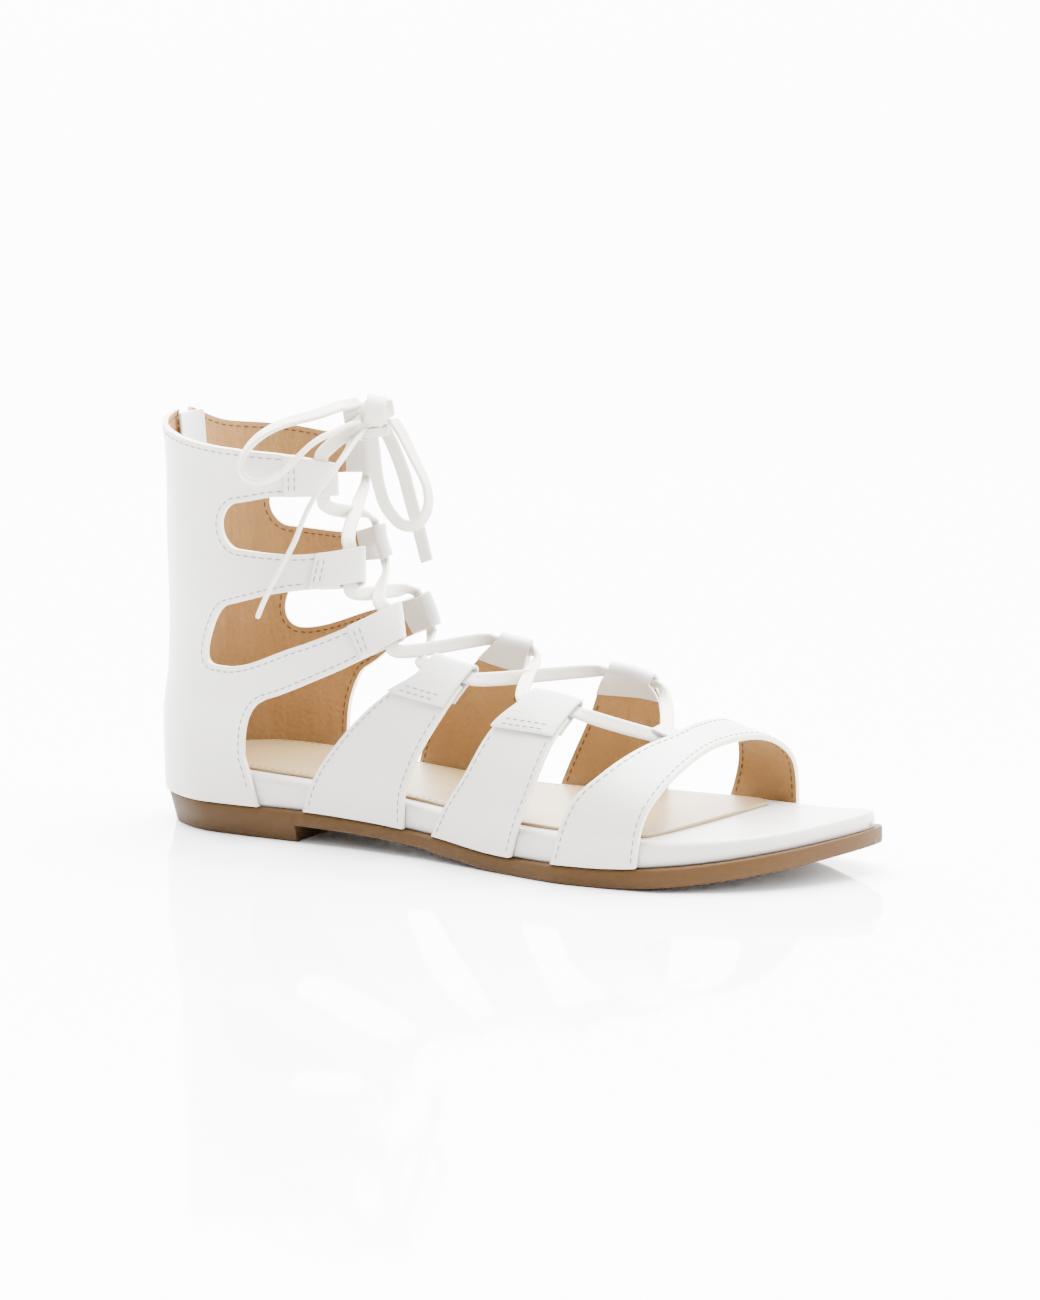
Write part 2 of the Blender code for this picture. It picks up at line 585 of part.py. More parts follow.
def ribbon(name, points, normals, collection=COLLECTION):
    """Flat lace along points: a ring of eight points at each, its broad side facing the normals."""
    points, normals = np.asarray(points), unit(np.asarray(normals))
    forward = unit(np.gradient(points, axis=0))
    rings = []
    for point, ahead, normal in zip(points, forward, normals):
        side = unit(np.cross(ahead, normal))
        up = np.cross(side, ahead)
        ring = []
        for w, h in ((0.5, -0.22), (0.5, 0.22), (0.34, 0.5), (-0.34, 0.5), (-0.5, 0.22), (-0.5, -0.22),
                     (-0.34, -0.5), (0.34, -0.5)):
            ring.append(point + side * w * LACE_WIDTH + up * h * LACE_THICKNESS)
        rings.append(ring)
    made = loft(name, rings, CORD)
    if collection is not COLLECTION:
        COLLECTION.objects.unlink(made)
        collection.objects.link(made)
        made.display_type = "WIRE"
        made.hide_render = True
    return made


def mouth(tab_name, across):
    """Mouth of a tab's tunnel, a gap outside it, with its outward direction and its normal."""
    surface, fold_at, metre = TABS[tab_name]
    here, _, sideways, normal = fold_frame(surface, fold_at - TUNNEL * 0.42 * metre, float(across), metre)
    outward = sideways if across else -sideways
    return here + outward * MOUTH_GAP, outward, normal


def span(start, end, bow, count=12):
    """Lace between two mouths: it leaves each straight out and is lifted midway by the bow."""
    (p0, d0, n0), (p1, d1, n1) = start, end
    reach = np.linalg.norm(p1 - p0)
    t = np.linspace(0, 1, count)[:, None]
    pull0, pull1 = d0 * reach * 0.55, -d1 * reach * 0.55
    path = ((1 + 2 * t) * (1 - t) ** 2 * p0 + t * (1 - t) ** 2 * pull0
            + t * t * (3 - 2 * t) * p1 - t * t * (1 - t) * pull1)
    middle = unit(n0 + n1)
    normals = n0 * (1 - t) + n1 * t
    return path + middle * bow * np.sin(pi * t) ** 2, normals


def crossing(name, first, second):
    """Two laces that cross between the straps, joined where they meet."""
    over = ribbon(name, *span(*first, LACE_THICKNESS * 0.4))
    under = ribbon(name + "_under", *span(*second, -LACE_THICKNESS * 0.2), HELPERS)
    join = over.modifiers.new("join", "BOOLEAN")
    join.operation = "UNION"
    join.solver = "EXACT"
    join.object = under
    return over


def curve_tube(name, points, diameter, look):
    """Cord: a smooth curve through hand-chosen points, laid as a poly spline with filled caps."""
    points = np.array(points)
    run = np.concatenate([[0], np.cumsum(np.linalg.norm(np.diff(points, axis=0), axis=1))])
    even = np.linspace(0, run[-1], max(6, int(run[-1] / (2.4 * diameter))))
    smoothed = np.stack([smooth(run, points[:, i], even) for i in range(3)], axis=1)
    curve = bpy.data.curves.new(name, "CURVE")
    curve.dimensions = "3D"
    curve.bevel_depth = diameter / 2
    curve.bevel_resolution = 2
    curve.use_fill_caps = True
    spline = curve.splines.new("POLY")
    spline.points.add(len(smoothed) - 1)
    for point, co in zip(spline.points, smoothed):
        point.co = (*co, 1)
    curve.materials.append(look)
    made = bpy.data.objects.new(name, curve)
    COLLECTION.objects.link(made)
    return made


def knot():
    """Knob of the bow: a squashed ball with a turn of lace under it."""
    bpy.ops.mesh.primitive_uv_sphere_add(segments=16, ring_count=9, radius=1, location=KNOT_AT)
    made = bpy.context.object
    made.scale = KNOT_SIZE
    made.rotation_euler = (0, radians(-18), 0)
    bpy.ops.object.transform_apply(location=False, rotation=True, scale=True)
    made.name = made.data.name = "lace_knot"
    for holder in list(made.users_collection):
        holder.objects.unlink(made)
    COLLECTION.objects.link(made)
    made.data.materials.append(CORD)
    return made


def back_frame(z):
    """Place on the shaft's back line at a height, with its directions up the back and outward."""
    level = (z - sole_top(0.0) - GAP) / (SHAFT_HEIGHT - sole_top(0.0) - GAP)
    here = shaft_surface("medial", np.zeros(3), np.array([level, level + 0.01, level - 0.01]))
    up = unit(here[1] - here[2])
    return here[0], up, np.array([-up[2], 0.0, up[0]])


def back_strip(z0, z1, count, offset, half_widths):
    """Grid of points up the back at an offset outward from the wall, at the given half widths."""
    rows = []
    for z in np.linspace(z0, z1, count):
        here, _, out = back_frame(z)
        rows.append([here + out * offset + np.array([0, y, 0]) for y in half_widths])
    return np.array(rows)


def zip_parts():
    """Tape behind the slot, the teeth in it, and the slider with its bridge at the top."""
    slot_low, slot_high = shaft_height_at(0.0, SLOT_FOOT), SHAFT_HEIGHT
    half = TAPE_WIDTH / 2
    tape_in = -(WALL / 2 + 3 * GAP + TAPE_THICKNESS / 2)
    widths = np.array([-1, -0.75, -0.5, 0, 0.5, 0.75, 1]) * half
    tape = back_strip(slot_low - 0.004, slot_high - 0.001, 16, tape_in, widths)
    tape[:, :, 0] += widths ** 2 / ANKLE_HALF_WIDTH
    sheet("zip_tape", tape, TAPE, TAPE_THICKNESS)
    teeth_out = tape_in + TAPE_THICKNESS / 2 + GAP + TEETH_THICKNESS / 2
    slider_low = slot_high - 0.0035 - SLIDER_LENGTH
    count = 2 * int((slider_low - slot_low - 0.003) / TOOTH_PITCH)
    rows = back_strip(slot_low + 0.001, slider_low + 0.002, 2 * count, teeth_out, (-1, 1))
    for i, row in enumerate(rows):
        wide = (i // 2) % 2 == 0
        row[:, 1] = np.array([-1, 1]) * TEETH_WIDTH / 2 * (1.0 if wide else 0.62)
    sheet("zip_teeth", rows, METAL, TEETH_THICKNESS)
    here, up, out = back_frame(slider_low + SLIDER_LENGTH / 2)
    lean = np.arctan2(up[0], up[2])
    base = teeth_out + TEETH_THICKNESS / 2 + GAP + SLIDER_THICKNESS / 2
    slider = box("zip_slider", here + out * base, (SLIDER_THICKNESS, SLIDER_WIDTH, SLIDER_LENGTH), lean, METAL)
    edge = slider.modifiers.new("edge", "BEVEL")
    edge.width = SLIDER_THICKNESS * 0.3
    edge.segments = 1
    bar_out = base + SLIDER_THICKNESS / 2 + BRIDGE_HEIGHT - BRIDGE_BAR / 2
    gap_to_bar = BRIDGE_HEIGHT - BRIDGE_BAR
    eye_up = SLIDER_LENGTH * 0.20
    for tag, along in (("low", -eye_up), ("high", eye_up)):
        post = box("bridge_" + tag, here + up * along + out * (bar_out - BRIDGE_HEIGHT / 2),
                   (BRIDGE_HEIGHT + BRIDGE_BAR, BRIDGE_BAR, BRIDGE_BAR), lean, METAL, HELPERS)
        join(slider, post, tag)
    bar = box("bridge_bar", here + out * bar_out, (BRIDGE_BAR, BRIDGE_BAR * 0.92, 2 * eye_up + BRIDGE_BAR * 0.9),
              lean, METAL, HELPERS)
    join(slider, bar, "bar")
    return here + out * (bar_out - BRIDGE_BAR / 2 - gap_to_bar / 2), up, out


def box(name, centre, size, lean, look, collection=COLLECTION):
    """Box leaning back with the heel's line."""
    bpy.ops.mesh.primitive_cube_add(size=1, location=tuple(centre), rotation=(0, lean, 0))
    made = bpy.context.object
    made.scale = size
    bpy.ops.object.transform_apply(location=False, rotation=False, scale=True)
    made.name = made.data.name = name
    for holder in list(made.users_collection):
        holder.objects.unlink(made)
    collection.objects.link(made)
    made.data.materials.append(look)
    if collection is not COLLECTION:
        made.display_type = "WIRE"
        made.hide_render = True
    return made


def join(target, tool, name):
    union = target.modifiers.new(name, "BOOLEAN")
    union.operation = "UNION"
    union.solver = "EXACT"
    union.object = tool
    return union


def zip_pull(eye):
    """Teardrop pull with a round eye, hanging from the slider's bridge; its origin is on the hinge."""
    curve = bpy.data.curves.new("zip_pull", "CURVE")
    curve.dimensions = "2D"
    curve.fill_mode = "BOTH"
    curve.extrude = PULL_THICKNESS / 2
    neck = PULL_HOLE + PULL_RIM
    outline = []
    for a in np.linspace(0, 2 * pi, 28, endpoint=False):
        low = (1 - cos(a)) / 2
        wide = sin(a) * (neck * (1 - low) + PULL_WIDTH / 2 * low) * 1.05
        outline.append((PULL_LENGTH * low - PULL_RIM / 2, wide))
    hole = [(PULL_RIM / 2 + PULL_HOLE * (1 + cos(a)), PULL_HOLE * sin(a) * 0.9)
            for a in np.linspace(0, 2 * pi, 14, endpoint=False)]
    for loop in (outline, hole):
        spline = curve.splines.new("POLY")
        spline.use_cyclic_u = True
        spline.points.add(len(loop) - 1)
        for point, (down, wide) in zip(spline.points, loop):
            point.co = (wide, -down, 0, 1)
    curve.materials.append(METAL)
    made = bpy.data.objects.new("zip_pull", curve)
    made.location = eye
    made.rotation_euler = (radians(90), 0, radians(-90))
    COLLECTION.objects.link(made)
    return made


outsole()
footbed()
sock_lining()
shaft()
TABS = {}
TAB_AT = {"strap_instep_lateral": 0.70, "strap_instep_medial": 0.85,
          "strap_ball_lateral": 0.665, "strap_ball_medial": 0.79}
for strap_name, fold in TAB_AT.items():
    ends = strap_point(strap_name, np.array([fold - 0.02, fold]), np.array([0.5, 0.5]))
    per_metre = 0.02 / np.linalg.norm(ends[1] - ends[0])
    strap(strap_name, fold - TUNNEL * per_metre)

    def strap_surface(share, across, n=strap_name):
        return strap_point(n, share, across)
    TABS["tab" + strap_name[5:]] = (strap_surface, fold, per_metre)
strap("toe_strap", 2.0)
FINGERS = {"top": (6, 7), "mid": (4, 5), "low": (2, 3)}
for finger, (low_line, high_line) in FINGERS.items():
    for shoe_side in SIDES:
        def finger_surface(share, across, s=shoe_side, low=low_line, high=high_line):
            return shaft_point(s, share, low + (high - low) * across)
        pair = finger_surface(np.array([1.8, 1.9]), np.array([0.5, 0.5]))
        per_metre = 0.1 / np.linalg.norm(pair[1] - pair[0])
        TABS["tab_%s_%s" % (finger, shoe_side)] = (finger_surface, 2.0 - FOLD_RADIUS * per_metre, per_metre)
for tab_name, place in TABS.items():
    tab(tab_name, *place)

loop_centre, loop_side, loop_out = toe_loop()
if loop_side[1] < 0:
    loop_side = -loop_side
near, far = mouth("tab_ball_lateral", 1), mouth("tab_ball_medial", 1)
half_loop = loop_side * (LOOP_WIDTH / 2 + GAP)
left_path, left_normals = span(near, (loop_centre - half_loop, -loop_side, loop_out), 0.0)
right_path, right_normals = span((loop_centre + half_loop, loop_side, loop_out), far, 0.0)
ribbon("lace_toe", np.concatenate([left_path, right_path]), np.concatenate([left_normals, right_normals]))
crossing("lace_cross_ball", (mouth("tab_ball_lateral", 0), mouth("tab_instep_medial", 1)),
         (mouth("tab_ball_medial", 0), mouth("tab_instep_lateral", 1)))
crossing("lace_cross_instep", (mouth("tab_instep_lateral", 0), mouth("tab_low_medial", 0)),
         (mouth("tab_instep_medial", 0), mouth("tab_low_lateral", 0)))
crossing("lace_cross_low", (mouth("tab_low_lateral", 1), mouth("tab_mid_medial", 0)),
         (mouth("tab_low_medial", 1), mouth("tab_mid_lateral", 0)))
crossing("lace_cross_mid", (mouth("tab_mid_lateral", 1), mouth("tab_top_medial", 0)),
         (mouth("tab_mid_medial", 1), mouth("tab_top_lateral", 0)))
knot()
for cord_name, route in ROUTES.items():
    curve_tube(cord_name, [(x / 1000, y / 1000, z / 1000) for x, y, z in route], LACE_TUBE, CORD)
eye, _, _ = zip_parts()
zip_pull(tuple(eye))

root = bpy.data.objects.new("sandal_frame", None)
root.location.x = -HEEL_CENTRE
COLLECTION.objects.link(root)
for made in [*COLLECTION.objects, *HELPERS.objects]:
    if made is not root:
        made.parent = root
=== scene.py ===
"""Looks of a gladiator sandal for the right foot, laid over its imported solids.

The toe points along +X, the medial side along +Y and the floor is z = 0, in metres. Formulas measure x from
the back of the heel; points move to the frame, whose origin is at the heel's centre, when a mesh is made.
"""

import bpy
import numpy as np
from mathutils import Matrix


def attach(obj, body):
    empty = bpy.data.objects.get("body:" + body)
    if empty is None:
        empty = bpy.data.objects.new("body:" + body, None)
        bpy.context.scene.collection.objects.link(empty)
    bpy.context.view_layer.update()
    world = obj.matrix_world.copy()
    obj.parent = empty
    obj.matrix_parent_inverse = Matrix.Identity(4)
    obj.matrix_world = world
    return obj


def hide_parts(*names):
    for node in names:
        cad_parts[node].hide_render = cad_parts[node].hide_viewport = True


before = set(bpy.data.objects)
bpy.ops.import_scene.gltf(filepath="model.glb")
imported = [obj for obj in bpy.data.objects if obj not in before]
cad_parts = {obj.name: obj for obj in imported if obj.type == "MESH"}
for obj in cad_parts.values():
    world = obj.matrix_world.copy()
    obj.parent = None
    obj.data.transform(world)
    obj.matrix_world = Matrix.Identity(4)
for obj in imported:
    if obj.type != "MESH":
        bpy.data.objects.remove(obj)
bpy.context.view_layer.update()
HEEL_CENTRE = 0.032

# Camera: a long lens that looks at the shoe's lateral side from its front, a little above it.
# Its direction, distance and slight roll were fitted to the edges of the sole in the photograph.
CAMERA_TARGET = np.array([0.1007, 0.0, 0.0628])
CAMERA_AZIMUTH = np.radians(31.64)
CAMERA_ELEVATION = np.radians(9.46)
CAMERA_ROLL = np.radians(-1.11)
CAMERA_DISTANCE = 1.5
CAMERA_LENS = 132.17
CAMERA_SENSOR = 36


def unit(vectors):
    """Vectors over their own lengths."""
    return vectors / np.linalg.norm(vectors, axis=-1, keepdims=True)


VIEW_BACK = np.array([np.sin(CAMERA_AZIMUTH) * np.cos(CAMERA_ELEVATION),
                      -np.cos(CAMERA_AZIMUTH) * np.cos(CAMERA_ELEVATION), np.sin(CAMERA_ELEVATION)])


def photo_camera():
    """Camera set back from its target along the view; its axes are right, up and back, then rolled."""
    back, roll = VIEW_BACK, CAMERA_ROLL
    right = unit(np.cross([0, 0, 1], back))
    up = np.cross(back, right)
    right, up = right * np.cos(roll) + up * np.sin(roll), up * np.cos(roll) - right * np.sin(roll)
    data = bpy.data.cameras.new("photo_camera")
    data.lens = CAMERA_LENS
    data.sensor_width = data.sensor_height = CAMERA_SENSOR
    data.sensor_fit = "AUTO"
    data.clip_start, data.clip_end = 0.05, 20
    camera = bpy.data.objects.new("photo_camera", data)
    place = np.eye(4)
    place[:3, :3] = np.stack([right, up, back], axis=1)
    place[:3, 3] = CAMERA_TARGET + back * CAMERA_DISTANCE
    camera.matrix_world = Matrix(place.tolist())
    bpy.context.scene.collection.objects.link(camera)
    bpy.context.scene.camera = camera


photo_camera()


# Bow of the lace: two loops and two ends of flat folded cord that hang from the knot at the front's top.
# The cord is soft white imitation leather, folded to a flat strip with a groove down its middle.
LACE_WIDTH = 0.0044
LACE_THICKNESS = 0.0016
LACE_GROOVE = 0.16
GROOVE_REACH = 0.14
LACE_ROUNDING = 0.55
LACE_END_ROUND = 0.0003
BOW = {
    "lace_loop_lateral": (
        (75.0, -5.0, 138.6), (73.8, -10.0, 138.4), (72.5, -16.0, 137.4), (69.1, -23.0, 136.0),
        (65.1, -29.0, 134.6), (62.1, -33.5, 132.6), (59.0, -36.3, 129.8), (56.0, -37.0, 126.4),
        (54.1, -37.2, 123.0), (54.0, -37.2, 119.6), (57.2, -37.2, 117.0), (64.0, -37.0, 117.4),
        (70.5, -36.8, 121.0), (75.2, -35.0, 125.9), (77.9, -30.5, 129.6), (78.8, -23.0, 131.4),
        (78.4, -14.0, 132.4), (77.6, -7.0, 132.4),
    ),
    "lace_end_lateral": (
        (78.2, -5.6, 129.6), (79.4, -11.5, 127.4), (80.6, -17.5, 124.6), (81.0, -22.5, 121.8),
        (80.2, -26.5, 118.4), (78.6, -30.0, 114.6), (77.0, -33.0, 110.0), (75.3, -35.0, 105.0),
        (73.6, -36.4, 99.6), (71.4, -37.2, 95.0), (68.8, -37.6, 90.6), (65.2, -37.6, 85.0),
        (61.9, -37.4, 79.8), (58.8, -37.2, 74.1),
    ),
    "lace_loop_medial": (
        (81.0, -3.0, 127.4), (82.4, -4.0, 121.9), (83.8, -5.0, 115.8), (85.4, -5.5, 111.1),
        (87.4, -6.0, 107.0), (90.2, -6.0, 103.6), (93.6, -6.0, 101.2), (97.4, -5.6, 101.0),
        (100.8, -5.0, 103.4), (102.3, -4.0, 108.4), (100.9, -3.0, 113.9), (96.8, -1.6, 120.0),
        (92.4, 0.0, 125.7), (88.8, 1.4, 130.0), (85.6, 2.2, 133.2),
    ),
    "lace_end_medial": (
        (81.2, 4.6, 129.4), (82.6, 6.0, 125.2), (84.0, 7.2, 120.4), (85.4, 8.4, 114.8),
        (86.8, 8.8, 109.0), (88.2, 9.0, 103.8), (89.6, 9.0, 99.4), (91.0, 9.0, 94.6),
        (92.2, 8.8, 90.4), (93.2, 8.6, 87.4),
    ),
}


class Value:
    """Output of a shader node that Python expressions work on: each operator adds one Math node."""

    def __init__(self, finish, socket):
        self.finish = finish
        self.socket = socket

    def worked(self, operation, first, second):
        """One Math node on two values."""
        values = {0: first, 1: second}
        return self.finish.node("ShaderNodeMath", {"operation": operation}, values)["Value"]

    def __add__(self, other):
        return self.worked("ADD", self, other)

    __radd__ = __add__

    def __mul__(self, other):
        return self.worked("MULTIPLY", self, other)

    __rmul__ = __mul__


class Finish:
    """A Principled material; every other node in it comes from one method."""

    def __init__(self, name, colour, roughness, **sockets):
        self.material = bpy.data.materials.new(name)
        self.material.use_nodes = True
        self.tree = self.material.node_tree
        self.shader = self.tree.nodes["Principled BSDF"]
        self.set("Base Color", (*colour, 1))
        self.set("Roughness", roughness)
        for socket, value in sockets.items():
            self.set(socket.replace("_", " "), value)

    def put(self, socket, value):
        """Links a value to a socket, or sets the socket's own number or colour."""
        if isinstance(value, Value):
            self.tree.links.new(value.socket, socket)
        else:
            socket.default_value = value

    def set(self, socket, value):
        """Feeds a socket of the shader by its name."""
        self.put(self.shader.inputs[socket], value)

    def node(self, kind, settings, values):
        """Adds a node, sets its settings, fills its sockets, and returns its outputs by name."""
        made = self.tree.nodes.new(kind)
        for key, value in settings.items():
            setattr(made, key, value)
        for key, value in values.items():
            self.put(made.inputs[key], value)
        return {output.name: Value(self, output) for output in made.outputs}

    def noise(self, scale, detail=3.0, stretch=(1.0, 1.0, 1.0)):
        """Noise on object coordinates, with the pattern drawn out along an axis by its stretch."""
        place = self.node("ShaderNodeTexCoord", {}, {})["Object"]
        drawn = self.node("ShaderNodeMapping", {}, {"Vector": place, "Scale": stretch})["Vector"]
        values = {"Vector": drawn, "Scale": scale, "Detail": detail}
        return self.node("ShaderNodeTexNoise", {}, values)["Fac"]

    def relief(self, height, strength, distance):
        """Small relief of the surface: the height times the distance, weakened by the strength."""
        values = {"Height": height, "Strength": strength, "Distance": distance}
        self.set("Normal", self.node("ShaderNodeBump", {}, values)["Normal"])


def through(points, count):
    """Natural cubic spline through the points over their chord length, at even steps.

    The second derivatives solve the spline's tridiagonal equations; each span is then its cubic.
    """
    points = np.asarray(points, float)
    run = np.concatenate([[0], np.cumsum(np.linalg.norm(np.diff(points, axis=0), axis=1))])
    step = np.diff(run)
    system = np.eye(len(points))
    right = np.zeros_like(points)
    inner = np.arange(1, len(points) - 1)
    system[inner, inner - 1] = step[:-1]
    system[inner, inner] = 2 * (step[:-1] + step[1:])
    system[inner, inner + 1] = step[1:]
    slope = np.diff(points, axis=0) / step[:, None]
    right[1:-1] = 6 * np.diff(slope, axis=0)
    bend = np.linalg.solve(system, right)
    at = np.linspace(0, run[-1], count)
    k = np.clip(np.searchsorted(run, at) - 1, 0, len(step) - 1)
    a = ((run[k + 1] - at) / step[k])[:, None]
    b = 1 - a
    size = (step[k] ** 2 / 6)[:, None]
    return a * points[k] + b * points[k + 1] + ((a ** 3 - a) * bend[k] + (b ** 3 - b) * bend[k + 1]) * size


def mesh_piece(name, vertices, faces, finishes, replaced=()):
    """Mesh object in the frame: its points are moved from the heel's back to the frame's origin."""
    vertices = np.asarray(vertices, float).reshape(-1, 3) - (HEEL_CENTRE, 0, 0)
    mesh = bpy.data.meshes.new(name)
    mesh.from_pydata(vertices.tolist(), [], faces if isinstance(faces, list) else faces.tolist())
    for finish in finishes:
        mesh.materials.append(finish.material)
    mesh.polygons.foreach_set("use_smooth", np.ones(len(mesh.polygons), bool))
    mesh.update()
    made = bpy.data.objects.new(name, mesh)
    bpy.context.scene.collection.objects.link(made)
    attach(made, "body")
    if replaced:
        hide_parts(*replaced)
    return made


def tube_faces(rings, around):
    """Quads between successive rings of a closed profile, with one face over each end.

    They point outwards where the profile turns left-handed about the tube's run.
    """
    i, j = np.meshgrid(np.arange(rings - 1), np.arange(around), indexing="ij")
    here, beside = i * around + j, i * around + (j + 1) % around
    sides = np.stack([here, here + around, beside + around, beside], axis=-1).reshape(-1, 4)
    last = (rings - 1) * around
    return sides.tolist() + [list(range(around)), list(range(last, last + around))[::-1]]


def lace_profile(count=28):
    """Section of the flat cord: a superellipse whose two broad sides dip at the middle as a bell curve."""
    turn = np.linspace(0, 2 * np.pi, count, endpoint=False)
    across = np.sign(np.cos(turn)) * np.abs(np.cos(turn)) ** LACE_ROUNDING
    high = np.sign(np.sin(turn)) * np.abs(np.sin(turn)) ** LACE_ROUNDING
    dip = 1 - LACE_GROOVE * np.exp(-(across / GROOVE_REACH) ** 2)
    return np.stack([across * 0.5, high * 0.5 * dip], axis=1)


def lace_rings(path, normals, width=LACE_WIDTH, thickness=LACE_THICKNESS):
    """Rings of the flat cord carried along a path, with its broad side facing the normals."""
    ahead = unit(np.gradient(path, axis=0))
    side = unit(np.cross(ahead, normals))
    up = np.cross(side, ahead)
    across, high = lace_profile().T
    wide = np.broadcast_to(width, len(path))[:, None, None]
    thick = np.broadcast_to(thickness, len(path))[:, None, None]
    return (path[:, None] + side[:, None] * across[None, :, None] * wide
            + up[:, None] * high[None, :, None] * thick)


def rounded(made, name, width, sharpest):
    """Rounds the edges of a piece that turn by more than an angle, in two steps over a width."""
    edge = made.modifiers.new(name, "BEVEL")
    edge.width = width
    edge.segments = 2
    edge.limit_method = "ANGLE"
    edge.angle_limit = np.radians(sharpest)
    return made


def lace_piece(name, rings, replaced):
    """Length of the flat cord as a closed tube over its rings, with softened ends."""
    made = mesh_piece(name, rings, tube_faces(*rings.shape[:2]), [LACE], replaced)
    return rounded(made, "soft_ends", LACE_END_ROUND, 70)


def turned_from_view(path, degrees):
    """Facing of a flat cord: the direction across the path nearest the camera, turned about the path.

    The turn goes evenly through the given degrees; at 90 the camera sees the cord's edge.
    """
    ahead = unit(np.gradient(path, axis=0))
    to_camera = unit(VIEW_BACK - ahead * (ahead @ VIEW_BACK)[:, None])
    turned = np.interp(np.linspace(0, 1, len(path)), np.linspace(0, 1, len(degrees)), degrees)
    angle = np.radians(turned)[:, None]
    return to_camera * np.cos(angle) + np.cross(ahead, to_camera) * np.sin(angle)


LACE = Finish("lace_imitation_leather", (0.50, 0.475, 0.41), 0.42, Coat_Weight=0.12, Coat_Roughness=0.3)
LACE.relief(LACE.noise(900) + LACE.noise(220, stretch=(1, 1, 0.3)) * 0.8, 0.35, 0.0003)
# Degrees by which each cord's broad side is turned from the camera, from the knot to its end.
BOW_TURNS = {"lace_loop_lateral": (35, 50, 75, 88, 80), "lace_end_lateral": (60, 82, 90, 84),
             "lace_loop_medial": (20, 35, 62, 45), "lace_end_medial": (30, 15, 30)}
INTO_KNOT = 0.0030
BOW_STATIONS = 150
for cord_name, millimetres in BOW.items():
    route = through(np.array(millimetres) / 1000, BOW_STATIONS)
    # The piece starts inside the knot, back along its own direction; the declared cord, at the knot's face.
    tucked = np.array([route[0] + unit(route[0] - route[3]) * INTO_KNOT, *route])
    tucked = through(tucked[::2], BOW_STATIONS)
    rings = lace_rings(tucked, turned_from_view(tucked, BOW_TURNS[cord_name]))
    piece = lace_piece(cord_name + "_cord", rings, (cord_name,))
    line = route - (HEEL_CENTRE, 0, 0)
    reach = float(np.linalg.norm(np.diff(line, axis=0), axis=1).sum())
    far_end = "knot" if "loop" in cord_name else "bare"
    tuple(line[0])


# Sole: one moulded sheet of caramel rubber with a low heel block under it and a finely ribbed tread.
# Its outline is the last's; it is cemented under the footbed.
LENGTH = 0.252
BALL_WIDTH = 0.081
HEEL_RISE = 0.0052
TOE_SPRING = 0.0094
SOLE_EDGE = 0.0055
TREAD_STEP = 0.0007
HEEL_TAPER = 0.0016
HEEL_BREAST = 0.256
TREAD_START = 0.472
RIB_PITCH = 0.0021
RIB_DEPTH = 0.00045
RIBS_FROM = 0.012
RIBS_PAST_STEP = 0.004
RIBS_TO = 0.93
SOLE_CORNER = 0.0009
STEP_RUN = 0.0003
PLAN = {
    "along": (0.0, 0.012, 0.048, 0.119, 0.218, 0.310, 0.437, 0.575, 0.694, 0.794, 0.873, 0.933,
              0.976, 1.0),
    "lateral": (0.0, -0.128, -0.253, -0.342, -0.358, -0.362, -0.399, -0.485, -0.551, -0.535, -0.433,
                -0.291, -0.095, 0.163),
    "medial": (0.0, 0.128, 0.240, 0.321, 0.333, 0.315, 0.291, 0.368, 0.449, 0.452, 0.412,
               0.348, 0.290, 0.163),
}
PROFILE = {
    "along": (0.0, 0.12, 0.24, 0.36, 0.476, 0.595, 0.72, 0.833, 0.933, 1.0),
    "rise": (1.08, 0.92, 0.92, 0.79, 0.48, 0.0, 0.0, 0.0, 0.0, 0.0),
    "spring": (0.0, 0.0, 0.0, 0.0, 0.0, 0.0, 0.0, 0.18, 0.60, 1.0),
    "edge": (1.0, 1.0, 1.0, 0.96, 0.96, 0.98, 1.05, 1.10, 1.03, 0.90),
    "bed": (1.02, 1.05, 0.95, 0.84, 0.81, 0.91, 0.895, 0.72, 0.54, 0.476),
}


def smooth(rows, values, at):
    """Monotone cubic through the rows: flat stretches stay flat and nothing overshoots."""
    rows, values, at = np.asarray(rows, float), np.asarray(values, float), np.asarray(at, float)
    step = np.diff(rows)
    slope = np.diff(values) / step
    tangent = np.zeros(len(rows))
    before, after = slope[:-1], slope[1:]
    same = before * after > 0
    weight1, weight2 = 2 * step[1:] + step[:-1], step[1:] + 2 * step[:-1]
    inner = np.zeros(len(before))
    harmonic = weight1[same] / before[same] + weight2[same] / after[same]
    inner[same] = (weight1 + weight2)[same] / harmonic
    tangent[1:-1] = inner
    tangent[0], tangent[-1] = slope[0], slope[-1]
    at = np.clip(at, rows[0], rows[-1])
    k = np.clip(np.searchsorted(rows, at) - 1, 0, len(step) - 1)
    t = (at - rows[k]) / step[k]
    ends = values[k] * (1 + 2 * t) * (1 - t) ** 2 + values[k + 1] * t * t * (3 - 2 * t)
    return ends + step[k] * t * (1 - t) * (tangent[k] * (1 - t) - tangent[k + 1] * t)


def turn_of(share):
    """Angle of a half circle whose projection is this share of the length: it rounds both ends."""
    return np.arccos(np.clip(1 - 2 * np.asarray(share, float), -1, 1))


def sole_edge(side, x):
    """Plan outline: shares of the ball width over the half circle's angle."""
    return BALL_WIDTH * smooth(turn_of(PLAN["along"]), PLAN[side], turn_of(np.asarray(x) / LENGTH))


def profile(column, x):
    """One column of the side profile at x, as a share of its named size."""
    return smooth(PROFILE["along"], PROFILE[column], np.asarray(x, float) / LENGTH)


def sheet_under(x):
    """Underside of the sheet: lifted at the heel, flat at the ball, sprung at the toe."""
    return HEEL_RISE * profile("rise", x) + TOE_SPRING * profile("spring", x)


def sole_top(x):
    """Top of the sheet: its underside plus its edge's thickness there."""
    return sheet_under(x) + SOLE_EDGE * profile("edge", x)


